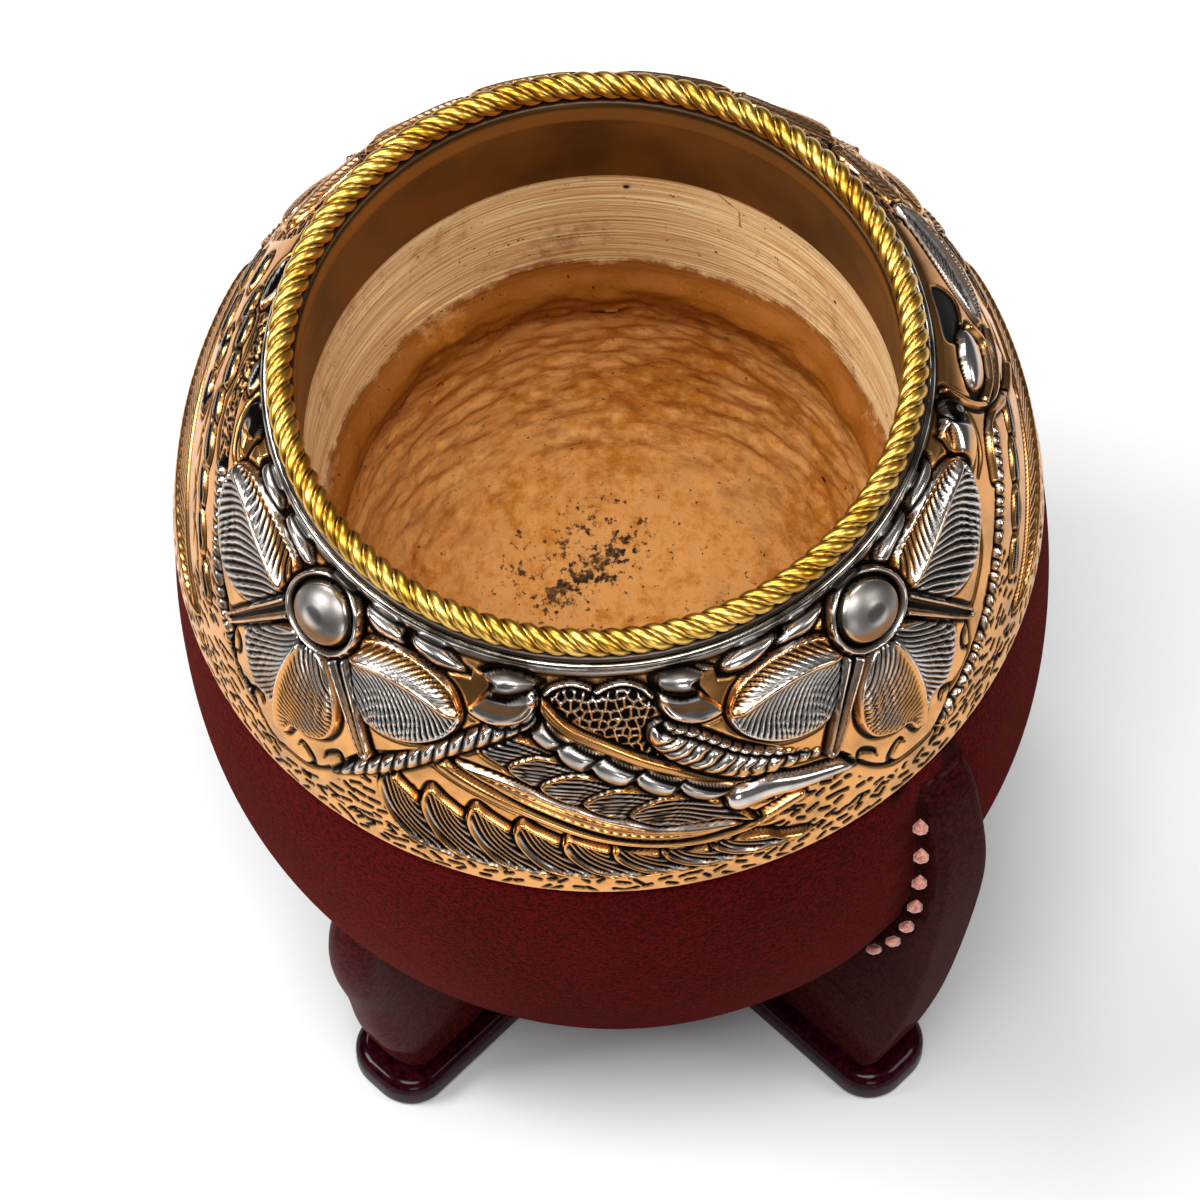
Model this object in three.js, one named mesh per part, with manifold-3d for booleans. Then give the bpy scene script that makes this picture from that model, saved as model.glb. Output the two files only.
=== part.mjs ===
// A footed mate gourd cup: a calabash gourd covered in burgundy leather, with a chased silver
// ferrule over its shoulder, a twisted gold rope round its mouth, and a cross-shaped leather base
// with four legs. The cup is empty. It leans a little on its base, as the hand-made one does.
import * as THREE from 'three';
import { mergeVertices } from 'three/addons/utils/BufferGeometryUtils.js';
import Module from 'manifold-3d';

// Driving dimensions, in millimetres and degrees. The origin is on the ground, under the middle
// of the base, and the front of the cup faces -Y.
const LEAN = 2.2; // the cup leans toward -X, the base stands level
const GAP = 0.3; // air between pieces that touch

// Outer skin of the cup: widest at the belly, rounded in to the mouth and to a flat bottom
const BELLY_RADIUS = 47.5;
const BELLY_HEIGHT = 71.8;
const MOUTH_RADIUS = 31.8;
const MOUTH_HEIGHT = 115.1;
const BOTTOM_HEIGHT = 21.9;
const SHOULDER_POWER = 1.88;
const UNDERSIDE_POWER = 2.58;

// Silver ferrule, measured as a distance down the skin from the mouth
const FERRULE_TOP = 2.2;
const FERRULE_EDGE = 34;
const FERRULE_PROUD = 0.5;
const FERRULE_RIM_PROUD = 0.25;
const FERRULE_RIM_END = 4.2;
const FERRULE_FACE_START = 6.5;
const FERRULE_EDGE_ROUNDING = 0.6;
const FERRULE_INSIDE = -0.5;

// Leather cover, pressed in under the ferrule
const LEATHER_TOP = 3;
const LEATHER_PRESSED = FERRULE_INSIDE - GAP;
const LEATHER_INSIDE = -1.8;
const LEATHER_STEP = 1;

// Mouth: metal collar, rope and bead wire
const COLLAR_RADIUS = 31.75;
const COLLAR_WALL = 0.6;
const COLLAR_TOP = 115.85;
const COLLAR_BOTTOM = 101;
const FLANGE_RADIUS = 33.9;
const FLANGE_THICKNESS = 0.4;
const ROPE_RADIUS = 33.17;
const ROPE_HEIGHT = 117.6;
const ROPE_THICKNESS = 2.88;
const ROPE_GROOVE = 0.3;
const ROPE_TWISTS = 32;
const ROPE_STRANDS = 3;
const WIRE_RADIUS = 34.75;
const WIRE_HEIGHT = 115.25;
const WIRE_THICKNESS = 1;

// Inside of the gourd: a bore turned on the lathe, a shoulder, and the rough natural bowl
const BORE_BOTTOM_RADIUS = 31.2;
const BORE_BOTTOM = 84;
const SHOULDER_INNER_RADIUS = 28.8;
const SHOULDER_INNER_HEIGHT = 80.6;
const SHOULDER_CURVE = 1.2;
const BOWL_RADIUS = 30;
const BOWL_HEIGHT = 68;
const FLOOR_HEIGHT = 38;
const BOWL_POWER = 2.5;
const BOWL_FLOOR_ANGLE = 72;

// Base plate: a cross of four round-ended arms
const PLATE_THICKNESS = 4.3;
const ARM_HALF_WIDTH = 5.8;
const ARM_REACH = 43;
const ARM_CORNER = 4.6;
const ARM_FILLET = 12;
const PLATE_ROUNDING = 0.7;
const BASE_TURN = 1;
const ARMS = 4;

// Legs: upright slabs that stand on the arms and lean on the cup
const LEG_THICKNESS = 7;
const LEG_FOOT_RADIUS = 39.7;
const LEG_HEEL_RADIUS = 4.5;
const LEG_INTO_CUP = 8;
const LEG_FOOT_HEIGHT = PLATE_THICKNESS + GAP;
const KNEE_RADIUS = 47;
const KNEE_HEIGHT = 38;
const SHORT_LEG_TOP = 50;
const SHORT_LEG_ROUNDING = 2;
const TALL_LEG_RADIUS = 49.3;
const TALL_LEG_BULGE = 66;
const TALL_LEG_TOP = 84;
const TALL_LEG_ROUNDING = 1.1;

// Stitches beside the tall leg
const STITCHES_LEFT = 9;
const STITCHES_RIGHT = 7; // this row begins two stitches lower
const STITCH_FIRST = 42;
const STITCH_SPACING = 6.4;
const STITCH_LENGTH = 3;
const STITCH_WIDTH = 2.2;
const STITCH_THICKNESS = 1.4;
const STITCH_CLEARANCE = 1.25;

// Flowers, leaf groups and the leaf frieze on the ferrule. Each raised form is an egg: its azimuth
// and its distance down the skin, both from the group's middle, its length, width and height, and
// how far it is turned from lying along the rim.
const FLOWER_AZIMUTHS = [-46.6, 46.6];
const FLOWER_DISTANCE = 7.3;
const FLOWER_FORMS = [
  [0, 0, 10, 8.6, 1.1, 0], // ring
  [0, 0, 7.4, 6.6, 2.6, 0], // dome
  [-18, 2.6, 15, 10.5, 1.7, 4], // side petals
  [18, 2.6, 15, 10.5, 1.7, -4],
  [0, 10.8, 12.5, 10, 1.8, 90], // hanging petal
  [-9, 8, 11, 2.6, 1.4, 128], // sepals
  [9, 8, 11, 2.6, 1.4, 52],
];
const LEAF_AZIMUTH = 0;
const LEAF_DISTANCE = 6.2;
const LEAF_FORMS = [
  [-15, 0, 6.6, 5.4, 1.7, 10], // buds at the rim
  [15, 0, 6.6, 5.4, 1.7, -10],
  [-25, 10.4, 22, 2.8, 1.4, 140], // braided stems
  [23, 9.2, 21, 3.4, 1.4, 28],
  [-20, 19.1, 11, 4.8, 1.6, 62], // lobes
  [-8, 19.7, 11, 4.8, 1.6, 55],
  [4, 20.3, 11, 4.8, 1.6, 48],
  [16, 20.9, 11, 4.8, 1.6, 41],
];
// Low forms at the sides, and a frieze that runs round the back from both sides. Left and right
// mirror each other.
const SIDE_AZIMUTH = 90;
const SIDE_FORMS = [
  [22, 2.6, 12.4, 4.6, 0.95, 8], // long leaf
  [4, 1.7, 6, 3, 1.1, 0], // buds
  [-9.5, -1, 6, 4, 1.5, -30],
  [-11, 8.2, 15, 2, 1.1, 150], // braided stem
  [-2, 17.8, 22, 5, 0.95, 168], // long feather
];
const FRIEZE_AZIMUTHS = [130, 149, 168];
const FRIEZE_DISTANCE = 7.6;
const FRIEZE_FORMS = [
  [0, 0, 12.6, 4.6, 0.95, 3], // long leaves along the rim
  [2, 9.4, 12, 5, 0.95, 32], // slanted leaves
  [4, 18.6, 11, 4.8, 1.1, 55], // lobes
];
const SLENDER_FORM = 5;
const CUT_MARGIN = 3;

// Smoothness
const ROUND_STEPS = 32;
const FERRULE_STEPS = 48;
const PROFILE_STEPS = 900;
const BOWL_STEPS = 4;
const UNDER_FERRULE_STEPS = 4;
const BELOW_FERRULE_STEPS = 7;
const CUTTER_STEPS = 24;
const MERGE_DISTANCE = 1e-4;

const wasm = await Module();
wasm.setup();
const rad = THREE.MathUtils.degToRad;

// The skin's outline as radius and height, from the mouth's edge down to the bottom's middle
function skinPoint(angle) {
  const across = Math.abs(Math.cos(angle));
  const along = Math.abs(Math.sin(angle));
  if (angle > 0) {
    return new THREE.Vector2(
      MOUTH_RADIUS + (BELLY_RADIUS - MOUTH_RADIUS) * across ** (2 / SHOULDER_POWER),
      BELLY_HEIGHT + (MOUTH_HEIGHT - BELLY_HEIGHT) * along ** (2 / SHOULDER_POWER),
    );
  }
  return new THREE.Vector2(
    BELLY_RADIUS * across ** (2 / UNDERSIDE_POWER),
    BELLY_HEIGHT - (BELLY_HEIGHT - BOTTOM_HEIGHT) * along ** (2 / UNDERSIDE_POWER),
  );
}

const skin = Array.from({ length: PROFILE_STEPS + 1 }, (_, i) =>
  skinPoint(rad(90 - (180 * i) / PROFILE_STEPS)));
const skinDistance = [0];
for (let i = 1; i < skin.length; i += 1) {
  skinDistance.push(skinDistance[i - 1] + skin[i].distanceTo(skin[i - 1]));
}
const SKIN_LENGTH = skinDistance[skinDistance.length - 1];

// A point at a distance down the skin, moved out from it (or in, where proud is negative)
function onSkin(distance, proud = 0) {
  let i = 1;
  while (i < skin.length - 1 && skinDistance[i] < distance) i += 1;
  const share = (distance - skinDistance[i - 1]) / (skinDistance[i] - skinDistance[i - 1]);
  const point = skin[i - 1].clone().lerp(skin[i], THREE.MathUtils.clamp(share, 0, 1));
  const before = skin[Math.max(i - 4, 0)];
  const after = skin[Math.min(i + 3, skin.length - 1)];
  const down = after.clone().sub(before).normalize();
  point.x = Math.max(point.x - down.y * proud, 0);
  point.y += down.x * proud;
  return point;
}

// Distances down the skin that inner and outer faces share, so that their gaps stay even
function evenDistances(from, to, count) {
  return Array.from({ length: count + 1 }, (_, i) => from + ((to - from) * i) / count);
}
const UNDER_FERRULE = evenDistances(LEATHER_TOP, FERRULE_EDGE, UNDER_FERRULE_STEPS);
const BELOW_FERRULE = evenDistances(FERRULE_EDGE + 2 * LEATHER_STEP, SKIN_LENGTH, BELOW_FERRULE_STEPS);

// A turned solid from an outline of radius and height that runs downward on its outer side
function turned(outline, steps = ROUND_STEPS) {
  const geometry = new THREE.LatheGeometry(outline.slice().reverse(), steps);
  return geometry.rotateX(Math.PI / 2);
}

function closedOutline(points) {
  return [...points, points[0].clone()];
}

function endOnAxis(points) {
  points[points.length - 1].x = 0;
  return points;
}

const at = (radius, height) => new THREE.Vector2(radius, height);

// Solids for cutting and joining
function toSolid(geometry) {
  const bare = geometry.clone();
  bare.deleteAttribute('normal');
  bare.deleteAttribute('uv');
  const merged = mergeVertices(bare, MERGE_DISTANCE);
  const corners = [];
  for (let i = 0; i < merged.index.count; i += 3) {
    const [a, b, c] = [0, 1, 2].map((k) => merged.index.getX(i + k));
    if (a !== b && b !== c && c !== a) corners.push(a, b, c);
  }
  return new wasm.Manifold(new wasm.Mesh({
    numProp: 3,
    vertProperties: new Float32Array(merged.attributes.position.array),
    triVerts: new Uint32Array(corners),
  }));
}

function toGeometry(solid) {
  const { vertProperties, triVerts } = solid.getMesh();
  const geometry = new THREE.BufferGeometry();
  geometry.setAttribute('position', new THREE.BufferAttribute(vertProperties, 3));
  geometry.setIndex(new THREE.BufferAttribute(triVerts, 1));
  geometry.computeVertexNormals();
  return geometry;
}

const part = new THREE.Group();
const cup = new THREE.Group();
cup.rotation.y = -rad(LEAN);
part.add(cup);
part.updateMatrixWorld(true);
cup.updateMatrixWorld(true);

function addPiece(group, name, geometry, colour, roughness, metalness) {
  const material = new THREE.MeshStandardMaterial({ color: colour, roughness, metalness });
  const mesh = new THREE.Mesh(geometry, material);
  mesh.name = name;
  group.add(mesh);
}

// Gourd: its outside follows the leather's inside, its mouth is bored for the collar
function gourdGeometry() {
  const skinOffset = LEATHER_INSIDE - GAP;
  const outside = endOnAxis([...UNDER_FERRULE, ...BELOW_FERRULE].map((d) => onSkin(d, skinOffset)));
  const bowl = evenDistances(BOWL_FLOOR_ANGLE, 0, BOWL_STEPS).map((angle) => at(
    BOWL_RADIUS * Math.cos(rad(angle)) ** (2 / BOWL_POWER),
    BOWL_HEIGHT - (BOWL_HEIGHT - FLOOR_HEIGHT) * Math.sin(rad(angle)) ** (2 / BOWL_POWER),
  ));
  const seatRadius = COLLAR_RADIUS + COLLAR_WALL + GAP;
  const inside = [
    at(0, FLOOR_HEIGHT),
    ...bowl,
    at(SHOULDER_INNER_RADIUS, SHOULDER_INNER_HEIGHT),
    at((SHOULDER_INNER_RADIUS + BORE_BOTTOM_RADIUS) / 2, SHOULDER_INNER_HEIGHT + SHOULDER_CURVE),
    at(BORE_BOTTOM_RADIUS, BORE_BOTTOM),
    at(COLLAR_RADIUS + GAP, COLLAR_BOTTOM - GAP),
    at(seatRadius, COLLAR_BOTTOM - GAP),
    at(seatRadius, outside[0].y),
  ];
  return turned([...inside, ...outside]);
}

// Leather: one shell from the ferrule's rim down round the bottom
function leatherGeometry() {
  const pressed = UNDER_FERRULE.map((d) => onSkin(d, LEATHER_PRESSED));
  const shown = endOnAxis([FERRULE_EDGE + LEATHER_STEP, ...BELOW_FERRULE].map((d) => onSkin(d)));
  const inside = endOnAxis([...UNDER_FERRULE, ...BELOW_FERRULE].map((d) => onSkin(d, LEATHER_INSIDE)));
  return turned([...inside.reverse(), ...pressed, ...shown]);
}

// Inner collar: a thin sleeve inside the mouth with a narrow flange under the rope
function collarGeometry() {
  const outer = COLLAR_RADIUS + COLLAR_WALL;
  const underFlange = COLLAR_TOP - FLANGE_THICKNESS;
  return turned(closedOutline([
    at(COLLAR_RADIUS, COLLAR_BOTTOM),
    at(COLLAR_RADIUS, COLLAR_TOP),
    at(FLANGE_RADIUS, COLLAR_TOP),
    at(FLANGE_RADIUS, underFlange),
    at(outer, underFlange),
    at(outer, COLLAR_BOTTOM),
  ]));
}

// Rope: strands twisted together, so its section is a rounded star that turns as it goes round.
// The section has two points a strand and there are two steps a strand, so ridges and grooves
// follow the diagonals of the mesh.
function ropeGeometry() {
  const crossings = ROPE_TWISTS * ROPE_STRANDS;
  const steps = crossings * 2;
  const sectionPoints = ROPE_STRANDS * 2;
  const positions = [];
  const faces = [];
  const index = (i, j) => (i % steps) * sectionPoints + (j % sectionPoints);
  for (let i = 0; i < steps; i += 1) {
    const round = (2 * Math.PI * i) / steps;
    for (let j = 0; j < sectionPoints; j += 1) {
      const turn = (2 * Math.PI * j) / sectionPoints;
      const ridge = (1 + Math.cos(ROPE_STRANDS * turn + crossings * round)) / 2;
      const reach = ROPE_THICKNESS / 2 - ROPE_GROOVE * (1 - ridge);
      const radius = ROPE_RADIUS + reach * Math.cos(turn);
      positions.push(
        radius * Math.sin(round), -radius * Math.cos(round), ROPE_HEIGHT + reach * Math.sin(turn));
      faces.push(index(i, j + 1), index(i, j), index(i + 1, j));
      faces.push(index(i, j + 1), index(i + 1, j), index(i + 1, j + 1));
    }
  }
  const geometry = new THREE.BufferGeometry();
  geometry.setAttribute('position', new THREE.Float32BufferAttribute(positions, 3));
  geometry.setIndex(faces);
  geometry.computeVertexNormals();
  return geometry;
}

// One raised form of the chasing, half sunk in the sheet, in the group at the given place
function raisedForm([aside, below, length, width, height, turn], groupAzimuth, groupDistance) {
  const geometry = new THREE.SphereGeometry(1, width > SLENDER_FORM ? 8 : 6, 4);
  const position = geometry.attributes.position;
  const distance = groupDistance + below;
  const [c, s] = [Math.cos(rad(turn)), Math.sin(rad(turn))];
  for (let i = 0; i < position.count; i += 1) {
    const along = (position.getX(i) * length) / 2;
    const across = (position.getZ(i) * width) / 2;
    const round = along * c - across * s;
    const down = along * s + across * c;
    const point = onSkin(distance + down, position.getY(i) * height);
    const angle = rad(groupAzimuth + aside) + round / onSkin(distance).x;
    position.setXYZ(i, point.x * Math.sin(angle), -point.x * Math.cos(angle), point.y);
  }
  return geometry;
}

// Ferrule: a thin sheet that follows the skin, with its raised forms joined on and its back cut
// clear of the leather
function ferruleGeometry() {
  const faceEnd = FERRULE_EDGE - FERRULE_EDGE_ROUNDING;
  const face = [
    onSkin(FERRULE_TOP, FERRULE_RIM_PROUD),
    onSkin(FERRULE_RIM_END, FERRULE_RIM_PROUD),
    ...evenDistances(FERRULE_FACE_START, faceEnd, 4).map((d) => onSkin(d, FERRULE_PROUD)),
    onSkin(FERRULE_EDGE, FERRULE_PROUD - FERRULE_EDGE_ROUNDING / 2),
  ];
  const top = face[0].y;
  const blank = toSolid(turned([at(0, top), ...face, at(0, face[face.length - 1].y)], FERRULE_STEPS));
  const backDistances = [FERRULE_TOP, ...UNDER_FERRULE, FERRULE_EDGE + CUT_MARGIN];
  const back = backDistances.map((d) => onSkin(d, FERRULE_INSIDE));
  const core = toSolid(turned([
    at(0, top + CUT_MARGIN), at(back[0].x, top + CUT_MARGIN), ...back, at(0, back[back.length - 1].y),
  ]));
  const raised = [
    ...FLOWER_AZIMUTHS.flatMap((azimuth) =>
      FLOWER_FORMS.map((form) => raisedForm(form, azimuth, FLOWER_DISTANCE))),
    ...LEAF_FORMS.map((form) => raisedForm(form, LEAF_AZIMUTH, LEAF_DISTANCE)),
    ...[-1, 1].flatMap((way) => SIDE_FORMS.map(([aside, below, length, width, height, turn]) =>
      raisedForm([way * aside, below, length, width, height, way * turn], way * SIDE_AZIMUTH,
        FRIEZE_DISTANCE))),
    ...[-1, 1].flatMap((way) => FRIEZE_AZIMUTHS.flatMap((azimuth) =>
      FRIEZE_FORMS.map(([aside, below, length, width, height, turn]) => raisedForm(
        [way * aside, below, length, width, height, way * turn], way * azimuth, FRIEZE_DISTANCE)))),
  ];
  return toGeometry(raised.reduce((sum, form) => sum.add(toSolid(form)), blank).subtract(core));
}

// Base plate: straight arms with round-cornered ends and hollow fillets between them
function plateGeometry() {
  const shape = new THREE.Shape();
  const flat = ARM_HALF_WIDTH - ARM_CORNER;
  const hollow = ARM_HALF_WIDTH + ARM_FILLET;
  for (let arm = 0; arm < ARMS; arm += 1) {
    const turn = rad((360 / ARMS) * (arm + 0.5) + BASE_TURN);
    const place = (x, y) => [
      x * Math.cos(turn) - y * Math.sin(turn), x * Math.sin(turn) + y * Math.cos(turn),
    ];
    const quarterTurn = Math.PI / 2;
    if (arm === 0) shape.moveTo(...place(hollow, -ARM_HALF_WIDTH));
    shape.absarc(...place(ARM_REACH - ARM_CORNER, -flat), ARM_CORNER, turn - quarterTurn, turn);
    shape.absarc(...place(ARM_REACH - ARM_CORNER, flat), ARM_CORNER, turn, turn + quarterTurn);
    shape.absarc(...place(hollow, hollow), ARM_FILLET, turn - quarterTurn, turn - Math.PI, true);
  }
  return new THREE.ExtrudeGeometry(shape, {
    depth: PLATE_THICKNESS - 2 * PLATE_ROUNDING,
    bevelThickness: PLATE_ROUNDING,
    bevelSize: PLATE_ROUNDING,
    bevelOffset: -PLATE_ROUNDING,
    bevelSegments: 1,
    curveSegments: 3,
  }).translate(0, 0, PLATE_ROUNDING);
}

// Legs: a slab whose outer edge is a smooth line through its foot, knee and top. What would lie
// inside the leaning cup is cut away with a gap.
const grownSkin = endOnAxis(evenDistances(GAP, SKIN_LENGTH, CUTTER_STEPS).map((d) => onSkin(d, GAP)));
const cupCutter = toSolid(
  turned([onSkin(0, GAP).setX(0), ...grownSkin]).applyMatrix4(cup.matrixWorld));

function legGeometry(azimuth, outerEdge, rounding) {
  const top = outerEdge[outerEdge.length - 1];
  const shape = new THREE.Shape();
  shape.moveTo(LEG_HEEL_RADIUS, LEG_FOOT_HEIGHT);
  shape.lineTo(LEG_FOOT_RADIUS, LEG_FOOT_HEIGHT);
  shape.splineThru(outerEdge);
  shape.lineTo(top.x - LEG_INTO_CUP, top.y);
  shape.lineTo(LEG_HEEL_RADIUS, BOTTOM_HEIGHT + LEG_INTO_CUP);
  const slab = new THREE.ExtrudeGeometry(shape, {
    depth: LEG_THICKNESS - 2 * rounding,
    bevelThickness: rounding,
    bevelSize: rounding,
    bevelOffset: -rounding,
    bevelSegments: 2,
    curveSegments: 3,
  });
  slab.translate(0, 0, rounding - LEG_THICKNESS / 2).rotateX(Math.PI / 2);
  slab.rotateZ(rad(azimuth - 90));
  return toGeometry(toSolid(slab).subtract(cupCutter));
}

const SHORT_LEG_EDGE = [
  at(41.5, 9), at(45, 26), at(KNEE_RADIUS, KNEE_HEIGHT), at(46.6, 45.5), at(44, SHORT_LEG_TOP),
];
const TALL_LEG_EDGE = [
  at(41.6, 9.3), at(45.3, 26.7), at(48.4, 50), at(TALL_LEG_RADIUS, TALL_LEG_BULGE),
  at(47.5, 79), at(45, TALL_LEG_TOP),
];

// A stitch: a drop in the corner between the tall leg's side and the leather, lying along the
// seam. side is -1 or 1, and distance is measured down the skin.
function stitchGeometry(legAzimuth, side, distance) {
  const skinSpot = onSkin(distance, STITCH_CLEARANCE);
  const below = onSkin(distance + 1, STITCH_CLEARANCE);
  const aside = side * (LEG_THICKNESS / 2 + STITCH_CLEARANCE);
  const legTurn = rad(legAzimuth);
  const onCup = ({ x: radius, y: height }) => {
    const shift = height * Math.sin(rad(LEAN)) * Math.cos(legTurn);
    const angle = legTurn + Math.asin((aside + shift) / radius);
    const spot = new THREE.Vector3(radius * Math.sin(angle), -radius * Math.cos(angle), height);
    return spot.applyMatrix4(cup.matrixWorld);
  };
  const middle = onCup(skinSpot);
  const lengthwise = onCup(below).sub(middle).normalize();
  const sideways = new THREE.Vector3(Math.cos(legTurn), Math.sin(legTurn), 0).multiplyScalar(side);
  const outward = new THREE.Vector3().crossVectors(sideways, lengthwise).normalize();
  if (outward.dot(middle.clone().setZ(0)) < 0) outward.negate();
  const facing = outward.clone().add(sideways).normalize();
  const crosswise = new THREE.Vector3().crossVectors(facing, lengthwise).normalize();
  const drop = new THREE.SphereGeometry(1, 6, 3);
  drop.scale(STITCH_WIDTH / 2, STITCH_LENGTH / 2, STITCH_THICKNESS / 2);
  const frame = new THREE.Matrix4().makeBasis(crosswise, lengthwise, facing).setPosition(middle);
  if (frame.determinant() < 0) frame.makeBasis(crosswise.negate(), lengthwise, facing).setPosition(middle);
  return drop.applyMatrix4(frame);
}

// The whole object
addPiece(cup, 'gourd', gourdGeometry(), 0xc9955c, 0.8, 0);
addPiece(cup, 'leather_cover', leatherGeometry(), 0x4a1016, 0.5, 0);
addPiece(cup, 'inner_collar', collarGeometry(), 0x6b4a26, 0.35, 0.8);
addPiece(cup, 'ferrule', ferruleGeometry(), 0xb9b4ae, 0.25, 1);
addPiece(cup, 'rope_rim', ropeGeometry(), 0xc9a23a, 0.25, 1);
const wire = new THREE.TorusGeometry(WIRE_RADIUS, WIRE_THICKNESS / 2, 4, 48).translate(0, 0, WIRE_HEIGHT);
addPiece(cup, 'rim_wire', wire, 0xc8c4c0, 0.2, 1);
addPiece(part, 'base_plate', plateGeometry(), 0x3a0f18, 0.3, 0);

const legAzimuths = { front_left: -45, back_left: -135, back_right: 135 };
for (const [place, azimuth] of Object.entries(legAzimuths)) {
  const leg = legGeometry(azimuth + BASE_TURN, SHORT_LEG_EDGE, SHORT_LEG_ROUNDING);
  addPiece(part, `leg_${place}`, leg, 0x43131a, 0.3, 0);
}
const tallAzimuth = 45 + BASE_TURN;
const tallLeg = legGeometry(tallAzimuth, TALL_LEG_EDGE, TALL_LEG_ROUNDING);
addPiece(part, 'leg_front_right_seam', tallLeg, 0x43131a, 0.35, 0);

for (const [sideName, side] of [['left', -1], ['right', 1]]) {
  const count = side < 0 ? STITCHES_LEFT : STITCHES_RIGHT;
  const first = STITCH_FIRST + STITCH_SPACING * (STITCHES_LEFT - count);
  for (let i = 0; i < count; i += 1) {
    const stitch = stitchGeometry(tallAzimuth, side, first + STITCH_SPACING * i);
    addPiece(part, `stitch_${sideName}_${i + 1}`, stitch, 0xc27a63, 0.5, 0);
  }
}

export default part;
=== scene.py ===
import math

import bmesh
import bpy
import numpy as np
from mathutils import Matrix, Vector


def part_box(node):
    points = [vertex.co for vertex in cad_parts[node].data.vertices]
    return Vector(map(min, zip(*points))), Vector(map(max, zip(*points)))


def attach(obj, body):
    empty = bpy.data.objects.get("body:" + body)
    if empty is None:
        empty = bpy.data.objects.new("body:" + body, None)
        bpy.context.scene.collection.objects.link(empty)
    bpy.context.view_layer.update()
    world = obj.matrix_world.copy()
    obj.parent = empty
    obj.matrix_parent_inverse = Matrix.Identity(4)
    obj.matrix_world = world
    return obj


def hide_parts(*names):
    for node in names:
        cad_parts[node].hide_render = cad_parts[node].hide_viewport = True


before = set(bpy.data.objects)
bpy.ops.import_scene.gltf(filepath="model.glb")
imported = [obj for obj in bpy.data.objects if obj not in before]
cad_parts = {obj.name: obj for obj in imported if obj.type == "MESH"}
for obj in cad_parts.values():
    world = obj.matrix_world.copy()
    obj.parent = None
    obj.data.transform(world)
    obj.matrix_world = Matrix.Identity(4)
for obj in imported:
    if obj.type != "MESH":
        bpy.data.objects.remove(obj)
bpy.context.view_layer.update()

# The camera stands where the photographer stood: in front of the cup, high up, looking down into
# its mouth through a long lens.
CAMERA_PLACE = Vector((-0.00284, -0.4177, 0.8711))
CAMERA_AIM = Vector((-0.00415, -0.0045, 0.0715))
CAMERA_LENS = 248.3

camera = bpy.data.objects.new("camera", bpy.data.cameras.new("camera"))
camera.data.lens = CAMERA_LENS
camera.data.sensor_width = 36
camera.location = CAMERA_PLACE
camera.rotation_euler = (CAMERA_AIM - CAMERA_PLACE).to_track_quat("-Z", "Y").to_euler()
bpy.context.scene.collection.objects.link(camera)
bpy.context.scene.camera = camera

# The gourd: a dried calabash, cut open at the top. Its mouth was bored smooth on a lathe, down to
# a brown shoulder, and the bowl below is bare, lumpy and stained, as it grew.
LEAN = math.radians(2.2)
BELLY_RADIUS, BELLY_HEIGHT = 47.5, 71.8
MOUTH_RADIUS, MOUTH_HEIGHT = 31.8, 115.1
BOTTOM_HEIGHT = 21.9
SHOULDER_POWER, UNDERSIDE_POWER = 1.88, 2.58
LEATHER_THICKNESS = 2.1
COLLAR_RADIUS, COLLAR_WALL, COLLAR_BOTTOM = 31.75, 0.6, 101
BORE_BOTTOM_RADIUS, BORE_BOTTOM = 31.2, 84
LEDGE_RADIUS, LEDGE_HEIGHT = 28.8, 80.6
BOWL_RADIUS, BOWL_HEIGHT, BOWL_POWER, FLOOR_HEIGHT = 30, 68, 2.5, 38
GOURD_COLUMNS = 420
BORE_HEX, BORE_RING_HEX, BORE_WORN_HEX = "#EED3A4", "#CDA26A", "#BE8C54"
BOWL_HEX, BOWL_BLOTCH_HEX = "#E0A964", "#B67428"
LEDGE_HEX, WRINKLE_HEX = "#7C4204", "#824A10"
STAIN_HEX, PINHOLE_HEX = "#24160E", "#241206"
# A pinhole is an azimuth, a height and a width. A stain is a line on the bowl's floor, its reach
# and its strength. The crack is a line of azimuths and heights.
PINHOLES = [(175.8, 98.3, 0.45), (128.8, 93.5, 0.3), (127.9, 56.8, 0.5), (-139.2, 82, 0.35),
            (-139.5, 71.8, 0.4), (158, 88.5, 0.22), (-160, 90, 0.2), (-95, 62, 0.35)]
STAINS = [((-8, 12.5), (0.5, 18.5), 4.2, 0.25), ((-5.5, 14), (-1, 15.5), 2.6, 0.17),
          ((0, 17), (3, 20.5), 2.6, 0.2), ((-11, 15), (-3, 21), 6.5, 0.16), ((-14, 6), (12, 10), 16, 0.07)]
CRACK = [(163, 104), (160, 101), (157.5, 100.2), (155, 99.4), (153, 98), (152.4, 95.5)]


def skin(distance, proud=0.0):
    """The cup's outer skin, at a distance down it from the mouth and moved out along its normal.
    Above the belly it is a quarter of a superellipse from the mouth's edge to the belly, and below
    it is another from the belly to the bottom's middle."""
    angle = np.radians(np.linspace(90, -90, 3601))
    across, along = np.abs(np.cos(angle)), np.abs(np.sin(angle))
    upper = angle > 0
    power = np.where(upper, 2 / SHOULDER_POWER, 2 / UNDERSIDE_POWER)
    inner = np.where(upper, MOUTH_RADIUS, 0)
    end = np.where(upper, MOUTH_HEIGHT, BOTTOM_HEIGHT)
    radius = inner + (BELLY_RADIUS - inner) * across ** power
    height = BELLY_HEIGHT + (end - BELLY_HEIGHT) * along ** power
    radius[-1] = 0
    walked = np.concatenate([[0], np.cumsum(np.hypot(np.diff(radius), np.diff(height)))])
    down = np.gradient(radius, walked), np.gradient(height, walked)
    length = np.hypot(*down)
    distance = np.asarray(distance, float)
    side = -np.interp(distance, walked, down[1] / length)
    lift = np.interp(distance, walked, down[0] / length)
    out = np.interp(distance, walked, radius) + side * proud
    return np.maximum(out, 0), np.interp(distance, walked, height) + lift * proud


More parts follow.
